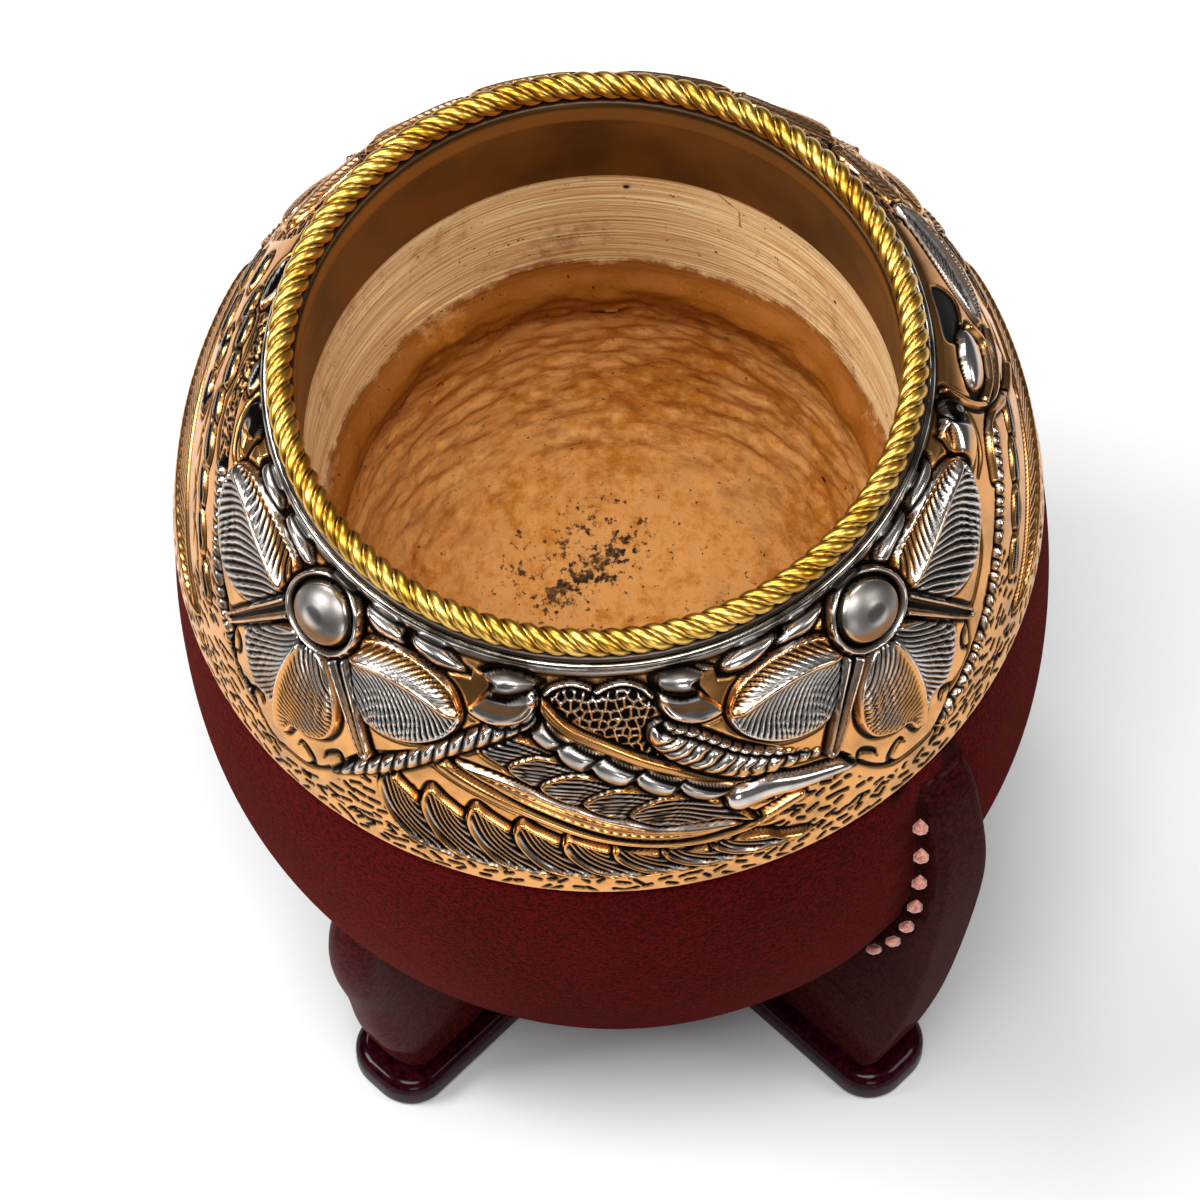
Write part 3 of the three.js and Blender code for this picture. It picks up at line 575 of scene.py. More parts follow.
def drop(azimuth, distance, length, width, height, turn=0.0, shine=1.0, point=0.0, sink=0.0, dull=0.0):
    """A polished bud: an egg, drawn out to a point at its far end, with its height as the square
    root of its depth, as a punched dome has. dull is how much patina is left round its top."""
    where, x, y, _ = patch([(azimuth, distance)], length / 2 + 0.8)
    c, s = math.cos(math.radians(turn)), math.sin(math.radians(turn))
    u, v = (x * c + y * s) * 2 / length, (y * c - x * s) * 2 / width
    v = v / np.clip(1 - point * np.clip(u, 0, 1), 0.05, 1)
    bulge = 1 - np.hypot(u, v)
    lay(where, bulge * width / 2, sink + height * np.sqrt(np.clip(bulge * (2 - bulge), 0, 1)), shine,
        dull * step(bulge, 0, 0.2) * (1 - step(bulge, 0.55, 0.9)))


def leaf(outline, midrib, height, pitch, slant, cut=(1.0, 1.0), rim=0.25, shine=(0.8, 0.8), dull=0.0):
    """A petal or leaf: two hollows beside a midrib, in an edge that is a raised bead of height rim.
    Black cuts leave the midrib along it and bend outward as a fan, as many as fit at the pitch: the
    place along the midrib less twice the slant times the square root of the distance from it, over
    the pitch, is a whole number at each cut. cut says how deep they are on each side of the midrib,
    shine how silvery each side is, and dull how much patina lies between them."""
    outline, midrib = smooth_line(outline, closed=True), smooth_line(midrib)
    where, x, y, flat = patch(np.concatenate([outline, midrib]), 1.2)
    edge, rib = flat[:len(outline)], flat[len(outline):]
    depth = depth_inside(x, y, edge)
    off, side, walked, _ = follow(x, y, rib)
    right = side > 0
    cup = np.sin(np.pi * np.clip(off / (off + np.clip(depth, 0, 9) + 0.01), 0, 1)) ** 2
    body = height * (1 - np.exp(-np.clip(depth, 0, 9) / 0.8)) * (1 - 0.35 * cup)
    uneven = 0.28 * cloud(walked / 3.4 + 5, off / 5, 13, len(outline))
    uneven = uneven + 0.06 * cloud(walked / 1.3, off / 2.4 + 7, 17, 5)
    phase = (walked - 2 * slant * np.sqrt(off + 0.05)) / pitch + uneven
    vein = (0.5 + 0.5 * np.cos(2 * np.pi * phase)) ** 1.3
    strength = np.where(right, cut[1], cut[0]) * step(depth, 0.35, 0.8) * step(off, 0.1, 0.6)
    bead = rim * np.exp(-((depth - 0.3) / 0.25) ** 2)
    rib_line = 0.25 * np.exp(-(off / 0.28) ** 2) * step(depth, 0.2, 0.8)
    black = np.maximum(0.98 * strength * vein ** 0.8, dull * step(depth, 0.5, 1.1))
    lay(where, depth, body - 0.42 * strength * vein + bead + rib_line,
        np.where(right, shine[1], shine[0]), black)


def lobe(outline, midrib, height=0.8, pitch=0.62, ribbon=0.85, shine=0.1):
    """A lobe of the leaf border: a smooth raised ribbon round a sunk, blackened field, in which
    fine ridges run lengthwise beside the midrib."""
    outline, midrib = smooth_line(outline, closed=True), smooth_line(midrib)
    where, x, y, flat = patch(np.concatenate([outline, midrib]), 1.2)
    edge, rib = flat[:len(outline)], flat[len(outline):]
    depth = depth_inside(x, y, edge)
    off, side, walked, total = follow(x, y, rib)
    field = step(depth, ribbon, ribbon + 0.25)
    uneven = 0.25 * cloud(walked / 2.6, off / 1.5 + 9, 19, len(outline))
    ridge = 0.5 + 0.5 * np.cos(2 * np.pi * (side * off * (1.25 - 0.5 * walked / total) / pitch + uneven))
    band = height * np.sin(np.pi / 2 * np.clip(depth / (0.6 * ribbon), 0, 1)) * (1 - field)
    lay(where, depth, band + field * (0.1 + 0.3 * ridge), shine + 0.7 * field,
        field * (0.97 - 0.85 * ridge ** 3))


def almond(azimuth, distance, length, width, turn):
    """A small pointed leaf, cut in flush with the ground: a thin gold edge round black, with one or
    two bright ridges along it."""
    c, s = math.cos(math.radians(turn)), math.sin(math.radians(turn))
    degree = math.radians(1) * float(skin(distance)[0])
    shape = ((-0.5, 0), (-0.3, -0.38), (0.05, -0.5), (0.34, -0.3), (0.5, 0), (0.34, 0.3), (0.05, 0.5),
             (-0.3, 0.38))
    places = [(u * length, v * width) for u, v in shape]
    around = [(azimuth + (u * c - v * s) / degree, distance + u * s + v * c) for u, v in places]
    lobe(around, [around[0], (azimuth, distance), around[4]], 0.12, width / 2.6, 0.18, 0.2)


def stem(points, width, height=0.7, kind="round", shine=0.6, taper=(1.0, 1.0), pitch=1.3):
    """A stem along a curve: round, or with two lines, a dark channel, beads, a twist of two strands,
    or nuggets."""
    line = smooth_line(points)
    where, x, y, flat = patch(line, width + 1)
    off, side, walked, total = follow(x, y, flat)
    half = width / 2 * (taper[0] + (taper[1] - taper[0]) * walked / total)
    inside = half - off
    across = np.clip(off / half, 0, 1)
    body = height * np.sqrt(np.clip(1 - across ** 2, 0, 1))
    dark = 0 * off
    if kind == "double":
        body = height * (0.55 + 0.45 * np.cos(2 * np.pi * across) ** 2 * (across < 0.75))
        dark = 0.8 * np.exp(-((across - 0.5) / 0.13) ** 2)
    elif kind == "channel":
        body = height * (0.35 + 0.65 * np.exp(-((across - 0.68) / 0.24) ** 2))
        dark = 1 - step(across, 0.22, 0.42)
    elif kind in ("twist", "beads", "nuggets"):
        slant = {"twist": 0.9, "beads": 0.0, "nuggets": 0.45}[kind] * side * off
        wobble = 0.35 * cloud(walked / pitch * 0.7, off + 3, 7, 11) if kind == "nuggets" else 0
        beat = 0.5 + 0.5 * np.cos(2 * np.pi * ((walked + slant) / pitch + wobble))
        body = body * (0.45 + 0.55 * beat ** 0.6)
        dark = 0.9 * (1 - beat) ** 3
    lay(where, inside, body, shine, dark)


def scratch(points, width=0.35, depth=0.3, taper=True):
    """A line cut with a liner: narrow, blackened, and thinner toward both ends."""
    line = smooth_line(points)
    where, x, y, flat = patch(line, width + 0.6)
    off, _, walked, total = follow(x, y, flat)
    thick = width * (np.sqrt(np.clip(np.sin(np.pi * walked / total), 0.02, 1)) if taper else 1)
    bite = np.exp(-(off / (0.6 * thick)) ** 2)
    relief[where] -= depth * bite
    patina[where] = np.maximum(patina[where], 0.95 * bite)


def punched(share, kind, pitch=1.5, seed=1):
    """Ground punched all over, cell by cell on a lattice whose cells are nudged at random: worm
    marks, rice grains, or a honeycomb of pits with bright walls. share says where and how deep."""
    rows = np.flatnonzero(share.max(1) > 0)
    if not len(rows):
        return
    part = share[rows]
    t = sheet_distance[rows][:, None]
    cells = {"worm": (1.0, 0.62), "rice": (1.0, 0.7), "comb": (0.8, 0.8)}[kind]
    around = int(round(2 * np.pi * 42 / (pitch * cells[0])))
    u = (sheet_azimuth[None, :] + 180) / 360 * around + 0 * t
    v = t / (pitch * cells[1]) + 0 * u
    rng = np.random.default_rng(seed)
    nudge = rng.uniform(-1, 1, (3, 61, around))
    nearest, second = np.full(u.shape, 9.0), np.full(u.shape, 9.0)
    for di in (-1, 0, 1):
        for dj in (-1, 0, 1):
            i, j = np.floor(v).astype(int) + di, np.floor(u).astype(int) + dj
            a, b, c = (nudge[k][i % 61, j % around] for k in range(3))
            dx = (u - (j + 0.5 + 0.32 * a + 0.5 * (i % 2))) * pitch * cells[0]
            dy = (v - (i + 0.5 + 0.3 * b)) * pitch * cells[1]
            if kind == "comb":
                off = np.hypot(dx, dy)
            else:
                tilt = c * (0.9 if kind == "worm" else 0.5)
                x, y = dx * np.cos(tilt) + dy * np.sin(tilt), dy * np.cos(tilt) - dx * np.sin(tilt)
                off = np.hypot(np.maximum(np.abs(x) - (0.34 + 0.12 * b) * pitch * 0.8, 0), y)
            second = np.minimum(second, np.maximum(nearest, off))
            nearest = np.minimum(nearest, off)
    if kind == "comb":
        wall = 1 - step(second - nearest, 0.05, 0.27)
        relief[rows] += part * (0.25 * wall - 0.3)
        patina[rows] = np.maximum(patina[rows] * (1 - part), part * (1 - wall) * 0.95)
        silver[rows] = np.maximum(silver[rows], part * 0.55)
    else:
        mark = np.exp(-(nearest / 0.27) ** 4)
        relief[rows] -= part * 0.22 * mark
        patina[rows] = np.maximum(patina[rows], part * mark * 0.95)


def region(outline, soft=0.25):
    """How far each place of the sheet lies in a closed outline: 0 outside it and 1 inside."""
    share = np.zeros_like(relief)
    where, x, y, flat = patch(smooth_line(outline, closed=True, steps=3), 1)
    share[where] = step(depth_inside(x, y, flat), 0, soft)
    return share


def mirrored(points, centre, way=1):
    """Moves points given round a motif's own middle to its azimuth, turned over where way is -1."""
    return [(centre + way * azimuth, distance) for azimuth, distance in points]


t_map = sheet_distance[:, None] + 0 * sheet_azimuth[None, :]
a_map = sheet_azimuth[None, :] + 0 * sheet_distance[:, None]
left_side = np.exp(-((a_map + 100) / 38) ** 4)
# Painted shade: the ground just under the rope is darkened through the patina field, nearly not at all on
# the left side
rim_shade = 0.52 * (1 - step(t_map, 4.3, 5.8)) * (1 - 0.9 * left_side)
patina += rim_shade
border = step(t_map, 29.8, 30.4) * (1 - step(t_map, 33.2, 33.6))
punched(border, "worm", 1.8, 21)
FLOWERS = [(-47.2, 1), (46.0, -1)]
for centre, way in FLOWERS:
    ground = region(mirrored([(-27, 19), (-18, 22), (-10, 26), (0, 30.2), (8, 28.5), (16, 21.5), (27, 24),
                              (24, 31), (0, 31), (-24, 31)], centre, way))
    punched(ground, "rice", 1.9, 31)

# Centre group: a honeycomb panel and tulips at the rim, teardrops with feather barbs, a long
# blade, and a row of acanthus lobes
centre = 0
panel = [(-9.6, 6.0), (-4.6, 4.4), (0, 5.0), (4.4, 4.4), (9.6, 6.0), (8.6, 10), (11.5, 16), (4, 12),
         (-3, 8.9), (-8.6, 7.6)]
punched(region(mirrored(panel, centre)), "comb", 1.3, 41)
for a, way in ((-4.7, -1), (4.5, 1)):
    stem(mirrored([(4.3, 6.2), (2.6, 5.0), (0, 4.4), (-2.6, 4.6), (-4.5, 5.2)], a, way),
         0.7, 0.5, "round", 1.0, (0.8, 0.8))
lobe_tops = [20.8, 20.8, 21.4, 22.5, 24, 25.4, 26.2, 26.4]
for k, t0 in enumerate(lobe_tops):
    a, b, tall_ = -31 + 6.5 * k, -24.5 + 6.5 * k, 30.4 - t0
    shape = [(a + 0.6, -0.02), (a + 3, 0.1), (b + 0.6, 0.34), (b + 2.8, 0.66), (b + 6.4, 0.98), (b + 2, 1),
             (a + 4.2, 0.9), (a + 1.2, 0.6), (a - 0.4, 0.26)]
    rib = [(a + 0.8, 0.02), (a + 3.4, 0.5), (b + 3, 0.98)]
    lobe(mirrored([(x_, t0 + tall_ * s_) for x_, s_ in shape], centre),
         mirrored([(x_, t0 + tall_ * s_) for x_, s_ in rib], centre), 0.8, 0.6, 0.4)
stem(mirrored([(-24, 16.5), (-20, 18), (-10, 20.8), (0, 24), (10, 25.8), (18, 25.9), (27, 24.3)], centre),
     2.3, 0.6, "round", 0.0, (0.6, 0.6))
leaf(mirrored([(-21, 16), (-13, 16.8), (-5, 19.2), (4, 22), (13, 23.9), (21, 24.9), (12, 25.4), (2, 23.9),
               (-8, 20.6), (-15, 18.2)], centre),
     mirrored([(-20, 16.4), (-10, 18.6), (0, 21.8), (10, 24), (20, 24.9)], centre),
     0.5, 1.0, 0.3, (0.6, 0.2), 0.3, (0.5, 0.1), 0.5)
for a, t in [(-10.5, 11.2), (-5.9, 13.2), (-1.2, 15.2), (4.8, 17.2), (11, 19.0)]:
    flame = [(-7.2, 1.8), (-3, -0.2), (2, 0.4), (6, 2.6), (9.4, 6.2), (5, 4.6), (0.5, 4.2), (-4, 3.6)]
    lobe(mirrored([(a + u, t + v) for u, v in flame], centre),
         mirrored([(a + u, t + v) for u, v in ((-7, 1.8), (0, 2.1), (9, 5.8))], centre),
         0.4, 0.62, 0.2, 0.15)
for a, t in [(-6.5, 10.4), (-2.6, 12.6), (2.3, 14.4), (8.3, 16.4), (14.2, 18.2)]:
    drop(centre + a + 1.0, t, 6.6, 3.5, 1.5, 16, 1.0, 0.9, 0, 0.35)
stem(mirrored([(-9.5, 6.5), (-5, 9.4), (1, 11.6), (8, 14.4), (15, 17), (22, 19.4)], centre),
     1.3, 0.5, "double", 0.2)
stem(mirrored([(19, 21.3), (23, 21.2), (27, 22), (32, 22.8), (36.5, 23.8)], centre),
     3.0, 1.0, "round", 1.0, (1.1, 0.4))
stem(mirrored([(9.5, 10.5), (12, 12.8), (17, 15.6), (21, 17.2), (26, 18), (31, 18.7), (34, 19.2)], centre),
     3.5, 0.9, "nuggets", 0.7, (1, 0.7), 1.5)
stem(mirrored([(10.5, 9.6), (15, 11.5), (21, 15), (27, 17.2), (33, 18.5)], centre),
     1.0, 0.9, "twist", 0.9, (1, 0.6))
stem(mirrored([(-10.5, 8.4), (-14, 10.2), (-19, 12.8), (-24, 15.8), (-27.5, 18.3), (-31, 20.7), (-35, 23.3),
               (-38.5, 25.5)], centre),
     2.0, 1.0, "twist", 0.9, (1.1, 0.8), 1.9)
for way in (-1, 1):
    leaf(mirrored([(9.4, 6.4), (11.4, 4.2), (15, 3.7), (19, 4.4), (22, 6.2), (20.4, 9), (15.5, 10),
                   (11, 8.8)], centre, way),
         mirrored([(9.8, 6.4), (14, 6.8), (21.6, 6.4)], centre, way),
         1.6, 2.4, 0.5, (0.3, 0.3), 0.2, (0.8, 0.8), 0.55)
    drop(centre + way * 14.2, 5.0, 6.0, 2.6, 1.7, way * 10, 1.0, 0.5, 0, 0.5)

# The frieze round the back: veined leaves along the rim, slanted leaves below them and a row of
# lobes, all low, with punched ground between. They lean away from the front on both sides.
for way in (-1, 1):
    for azimuth in (130, 149, 168):
        centre = way * azimuth
        ground = region(mirrored([(-10, 4.6), (10, 4.6), (12, 30), (-4, 30), (-10, 12)], centre, way))
        punched(ground, "rice", 1.3, azimuth)
        leaf(mirrored([(-9.2, 8.8), (-6, 6.4), (0, 5.2), (6, 5.4), (9.2, 7), (6, 9.2), (0, 9.8), (-6, 9.6)],
                      centre, way),
             mirrored([(-9, 8.7), (0, 7.4), (9, 7)], centre, way),
             0.3, 0.8, 1.2, (1.0, 1.0), 0.12, (0.3, 0.3), 0.35)
        leaf(mirrored([(-5.4, 13.2), (-1, 12.8), (4.4, 14.8), (8.6, 18), (9.4, 20.8), (5, 20.8), (0, 18.8),
                       (-4, 16)], centre, way),
             mirrored([(-5.2, 13.4), (2, 17), (9.2, 20.6)], centre, way),
             0.4, 0.85, 1.2, (1.0, 1.0), 0.15, (0.1, 0.4), 0.2)
        lobe(mirrored([(0, 21.6), (3.4, 21.8), (6.8, 25), (9.2, 29), (8.8, 30.8), (5, 30.6), (1.4, 27.6),
                       (-0.8, 24)], centre, way),
             mirrored([(0.4, 21.8), (4, 26), (8.4, 30.6)], centre, way), 0.6, 0.6, 0.5)
        stem(mirrored([(-9, 15.6), (-6, 18.8), (-1, 21.2), (0.6, 25), (0.4, 29.6)], centre, way),
             1.1, 0.5, "twist", 0.4, (1, 0.7), 1.2)

# The left side: a stem marked with rice grains runs down from the rim and turns into a knotted
# cord round the flower. Small black leaves are cut into the smooth gold ground beside it, with a
# scroll bud at the rim and a long feather below.
grains = region([(-106, 3.4), (-97, 3.2), (-92, 4.5), (-88, 6.6), (-83, 8.4), (-78.5, 10.4), (-79, 12.2),
                 (-84, 11), (-89, 9.2), (-93, 7.2), (-98, 5.4), (-106, 5.0)])
punched(grains, "worm", 1.15, 61)
scratch([(-106, 5.2), (-98, 5.6), (-93, 7.4), (-89, 9.4), (-84, 11.2), (-79, 12.4)], 0.3, 0.2, False)
scratch([(-100, 3.9), (-96, 3.9), (-92, 4.9), (-88, 6.8), (-83, 8.6), (-79, 10.4)], 0.3, 0.2, False)
stem([(-80, 11.2), (-76, 13.2), (-71, 17), (-66.6, 20.2), (-62, 22.8), (-57, 25.2), (-52, 27), (-48, 28.6)],
     1.6, 0.6, "nuggets", 0.6, (1, 0.9), 1.3)
# Each small leaf's azimuth, distance, length, width and turn
LEFT_ALMONDS = [
    (-109.5, 4.6, 6.6, 2.5, 12), (-106, 7.6, 4.2, 1.8, 20), (-101, 7.4, 4.4, 2.0, 22),
    (-95, 8.6, 4.4, 2.0, 24), (-91.4, 4.2, 4.6, 1.7, 24), (-90, 11.4, 4.6, 2.0, 26),
    (-85.6, 13.4, 5.2, 2.1, 28),
    (-81, 16.6, 5.2, 2.0, 34), (-76, 19.6, 5.2, 1.9, 38), (-70.5, 22.8, 4.6, 1.8, 38), (-101, 12, 5, 2, 24),
    (-95, 14.6, 5.4, 2.2, 26), (-113, 9, 5, 2.2, 14), (-115.5, 13, 5.4, 2.2, 18), (-107, 13, 5.6, 2.2, 20)]
for one in LEFT_ALMONDS:
    almond(*one)
drop(-81.6, 5.2, 6.4, 3.2, 0.8, 30, 0.55, 0.5, 0, 0.75)
scratch([(-86.5, 3.8), (-84.4, 6.4), (-80.4, 8.2), (-77.6, 8.4)], 0.6, 0.3)
scratch([(-84.6, 3.4), (-80.6, 3.7), (-77.6, 5.2)], 0.5, 0.3)
for a, t in ((-104, 10), (-98, 11.6), (-92, 13.8), (-86.8, 16.6), (-82, 19.6), (-77, 22)):
    scratch([(a - 3.4, t - 1.2), (a, t - 0.5), (a + 3.2, t + 1.6), (a + 5.4, t + 3.8)], 0.42, 0.28)
leaf([(-121, 16), (-110, 15.6), (-100, 17), (-91, 19.4), (-83, 22.6), (-76, 26.2), (-70, 29.4), (-78, 30),
      (-88, 29.4), (-100, 27.6), (-112, 24)],
     [(-120, 18), (-106, 20.4), (-94, 23.2), (-82, 26.6), (-71, 29.2)],
     0.5, 1.15, 1.6, (1.0, 1.0), 0.08, (0.1, 0.4))

# The right side: a long veined leaf behind, a dark hollow and a pearl at the rim, a large bud under
# an arch of two stems, and below them the cord round the flower and a long feather.
hollow_part = region([(107, 4.8), (101, 4.6), (96, 5), (96.6, 7.4), (101, 8.6), (106, 8.4)], 0.5)
patina[:] = np.maximum(patina, hollow_part)
relief -= 0.3 * hollow_part
leaf([(124, 6.6), (118, 6.6), (111, 7.6), (106, 9.4), (102.6, 12.4), (107, 14.2), (113, 14.2), (119, 12.4),
      (123, 9.6)],
     [(123.5, 7.4), (114, 9.8), (103.4, 12.2)], 0.4, 0.75, 1.5, (1.0, 1.0), 0.3, (0.6, 0.6), 0.4)
for a, t in ((106, 16.6), (99.6, 15), (101, 19.6), (94, 17.2), (107, 22)):
    scratch([(a + 5.6, t - 2.2), (a + 2, t - 1.4), (a - 2, t + 0.2), (a - 5, t + 2.4)], 0.5, 0.3)
for points in ([(103, 14.6), (97.6, 14.6), (92, 13.4), (88.4, 11), (86.6, 8), (86.4, 4.6)],
               [(100, 19), (95, 17.2), (90.6, 14.6), (87.4, 12.6), (83, 12.8), (79, 15)],
               [(101, 9.8), (99.4, 12.2), (94, 12.6), (89.6, 11.4)]):
    stem(points, 1.1, 0.55, "round", 0.3, (0.9, 0.7))
drop(94.6, 8.8, 7.0, 3.4, 1.0, -8, 0.7, 0.2, 0, 0.1)
drop(79.4, 7.4, 7.2, 5.0, 1.4, 150, 0.6, 0.1, 0, 0.15)
drop(83.4, 5.8, 3.2, 2.4, 1.3, 100, 0.8, 0.4, 0, 1.0)
scratch([(86, 4.4), (84.4, 8.4), (80.6, 11.2), (76.4, 11.8)], 0.6, 0.35)
stem([(86, 13.6), (81, 15.8), (76, 18), (71.4, 20.2), (67, 22.6), (62, 24.8), (57, 27), (50, 28.8)],
     1.6, 0.6, "nuggets", 0.5, (0.8, 1), 1.3)
RIGHT_ALMONDS = [(91, 17.6, 5.4, 2.2, 155), (85, 19.6, 5.6, 2.2, 150), (79.4, 22, 5.4, 2.1, 148),
                 (74, 24.6, 5, 2, 146), (113, 18.4, 5.4, 2.2, 165), (118.6, 16.6, 5, 2, 165)]
for one in RIGHT_ALMONDS:
    almond(*one)
leaf([(122, 19), (112, 19.6), (102, 20.8), (93, 22.4), (84, 24.8), (76, 27.6), (69, 30), (78, 30.8),
      (90, 30.2), (102, 28.6), (114, 25.6)],
     [(121, 21.4), (107, 23.8), (95, 25.8), (82, 28.4), (70, 30)],
     0.5, 1.15, 1.6, (1.0, 1.0), 0.08, (0.4, 0.1))

# Flowers: a domed eye in a raised ring, two side petals, one hanging petal, sepals between them,
# and a scalloped line round all
for centre, way in FLOWERS:
    line = [(-31.8, 4.5), (-29.3, 8), (-26.8, 12), (-22.8, 16.5), (-18, 19), (-14.8, 20.5), (-13, 23.6),
            (-10.3, 25.2), (-7.8, 25.6), (-5.4, 27.4), (-2.3, 28.9), (1.2, 29), (4.7, 28.6), (7.6, 26.9),
            (10, 24.4), (12.2, 21.8), (13.6, 20)]
    ground = region(mirrored(line + [(20, 17), (26, 13), (27.5, 9), (27, 4)], centre, way), 0.5)
    relief *= 1 - ground
    relief += 0.25 * ground
    # The flower's ground keeps only the painted shade under the rope as its darkening
    patina += (rim_shade - patina) * ground
    silver *= 1 - ground
    scratch(mirrored(line, centre, way), 0.62, 0.45, False)
    hooks = [[(-14.8, 20.5), (-12.4, 21.2), (-11.6, 22.8), (-12.6, 23.8)],
             [(-7.8, 25.6), (-5.6, 24.6), (-4.6, 25.6)],
             [(4.7, 28.6), (5.4, 27), (3.4, 25.6), (2.4, 26.4)],
             [(10, 24.4), (9.2, 23), (7.4, 24.2), (7, 25.2)]]
    for hook in hooks:
        scratch(mirrored(hook, centre, way), 0.7, 0.45)
    for a in (-21.8, -11.3, 10.7, 20.2):
        drop(centre + way * a, 4.5, 6.6, 2.3, 0.95, 9 * way, 0.8, 0.5)
    # Painted light and shade: the petals' halves that face the light are kept silver, and the others take
    # more of the painted gilt reflection
    leaf(mirrored([(-6.0, 8.4), (-9, 5.6), (-15, 4.9), (-22, 5.0), (-27.8, 5.8), (-30.4, 7.6), (-29, 10.6),
                   (-25, 13.6), (-18.8, 16), (-12.4, 15), (-8, 12.2)], centre, way),
         mirrored([(-6.4, 9.2), (-14, 7.9), (-22, 7.1), (-29.6, 7.4)], centre, way),
         1.9, 1.05, 1.5, (1.0, 1.0), 0.35, (1.0, 0.4)[::way])
    leaf(mirrored([(6.0, 8.8), (9, 6.2), (14, 5.4), (20, 5.8), (24.6, 7.3), (26.6, 10), (24.8, 13),
                   (19.4, 15.6), (13.2, 15.9), (8.2, 13.4)], centre, way),
         mirrored([(6.4, 9.4), (13, 8.3), (20, 8.6), (26.2, 10)], centre, way),
         1.9, 0.8, 1.5, (1.0, 1.0), 0.35, (0.4, 1.0)[::way])
    leaf(mirrored([(-1.6, 11.2), (-5.0, 12.4), (-9.4, 14.8), (-11.4, 18), (-9.6, 21), (-6.6, 23.2),
                   (-3.4, 23.4), (-1.6, 25.2), (0.4, 26), (1.6, 24), (4.2, 23.4), (7.4, 21.6), (8.4, 18.2),
                   (6.2, 14), (1.8, 11.6)], centre, way),
         mirrored([(-0.9, 11.4), (-1.6, 18), (-0.4, 25.4)], centre, way),
         1.9, 0.8, 1.5, (1.0, 1.0), 0.3, (0.75, 0.95)[::way])
    for sepal in ([(-6.2, 10.6), (-10.2, 14.6), (-14.6, 19.6)], [(5.4, 10.8), (9.6, 15), (13.4, 20.2)]):
        stem(mirrored(sepal, centre, way), 2.6, 1.3, "channel", 0.8, (1.0, 0.5))
    where, x, y, _ = patch([(centre, 7.5)], 7)
    ring = np.hypot(x / 4.9, y / 4.25)
    ring_height = 1.0 + 0.45 * np.exp(-((ring - 0.9) / 0.07) ** 2)
    ring_height = ring_height - 0.5 * np.exp(-((ring - 0.8) / 0.05) ** 2)
    lay(where, (1 - ring) * 4.5, ring_height, 1.0, 0.9 * np.exp(-((ring - 0.81) / 0.04) ** 2), 1.0)
    drop(centre, 7.5, 7.4, 6.4, 1.9, 0, 0.8, 0, 0.55, 0.45)

# The sheet's own rims: a smooth turned-over band under the rope, with a groove below it, and a
# rounded lower edge
rim = 1 - step(t_map, RIM_END - 0.3, RIM_END)
relief *= 1 - rim
patina[:] = patina * (1 - rim) + 0.4 * rim
silver[:] = silver * (1 - rim) + 0.8 * rim
relief += 0.22 * np.exp(-((t_map - 3.1) / 0.3) ** 2)
patina[:] = np.maximum(patina, 0.8 * np.exp(-((t_map - 3.7) / 0.18) ** 2))
lower = step(t_map, 33.2, 33.7)
relief *= 1 - lower
patina *= 1 - lower


def blurred(field, times):
    """Each place averaged with its neighbours, a number of times. The columns close on themselves."""
    for _ in range(times):
        field = (np.roll(field, 1, 1) + 2 * field + np.roll(field, -1, 1)) / 4
        padded = np.pad(field, ((1, 1), (0, 0)), mode="edge")
        field = (padded[:-2] + 2 * padded[1:-1] + padded[2:]) / 4
    return field


relief = blurred(relief, 1)
hollow = step(blurred(relief, 24) - relief, 0.04, 0.28)
patina = step(np.maximum(patina, 0.75 * hollow), 0.1, 0.7)
sheet_base = RIM_PROUD + (FERRULE_PROUD - RIM_PROUD) * step(sheet_distance, RIM_END, RIM_END + 1)
sheet_base = sheet_base - 0.35 * step(sheet_distance, FERRULE_EDGE - 0.6, FERRULE_EDGE)
sheet_radius, sheet_height = skin(sheet_distance[:, None], sheet_base[:, None] + relief)
face_points = turned(sheet_radius, sheet_height, sheet_azimuth)
down = np.gradient(face_points, axis=0)
around = np.roll(face_points, -1, 1) - np.roll(face_points, 1, 1)
face_normals = np.cross(down, around)
face_normals /= np.linalg.norm(face_normals, axis=-1, keepdims=True)
# Painted reflection: polished silver that faces the sky stays white, and what faces down toward the table
# is painted a warm, gilt tone, as if it mirrored warm surroundings. The bare sheet between the forms is
# gilt nearly all over.
looks_up = blurred(face_normals[..., 2], 1)
level = 1.3 - 1.15 * np.clip(silver, 0, 1)
gilt = 1 - step(looks_up, level - 0.1, level + 0.12)

back_distance = np.linspace(FERRULE_EDGE - 0.1, FERRULE_TOP, 6)
back_radius, back_height = skin(back_distance, FERRULE_INSIDE)
# Polished silver sheet, partly gilt: bright and mirror-like on top, cloudy with tarnish, and black and dull
# in the recesses, where the patina was left. Where silver faces down, a warm reflection is painted in, and
# under the rope, shade.
silver_sheet, tree, shader = material("chased_silver_patinated", {"Metallic": 1.0})
place = add(tree, "TexCoord").outputs["Object"]
gilt_share = add(tree, "Attribute", {"attribute_name": "gilt"}).outputs["Fac"]
patina_and_shade_share = add(tree, "Attribute", {"attribute_name": "patina"}).outputs["Fac"]
tarnish = add(tree, "TexNoise", {"Scale": 500, "Detail": 4}, {"Vector": place})
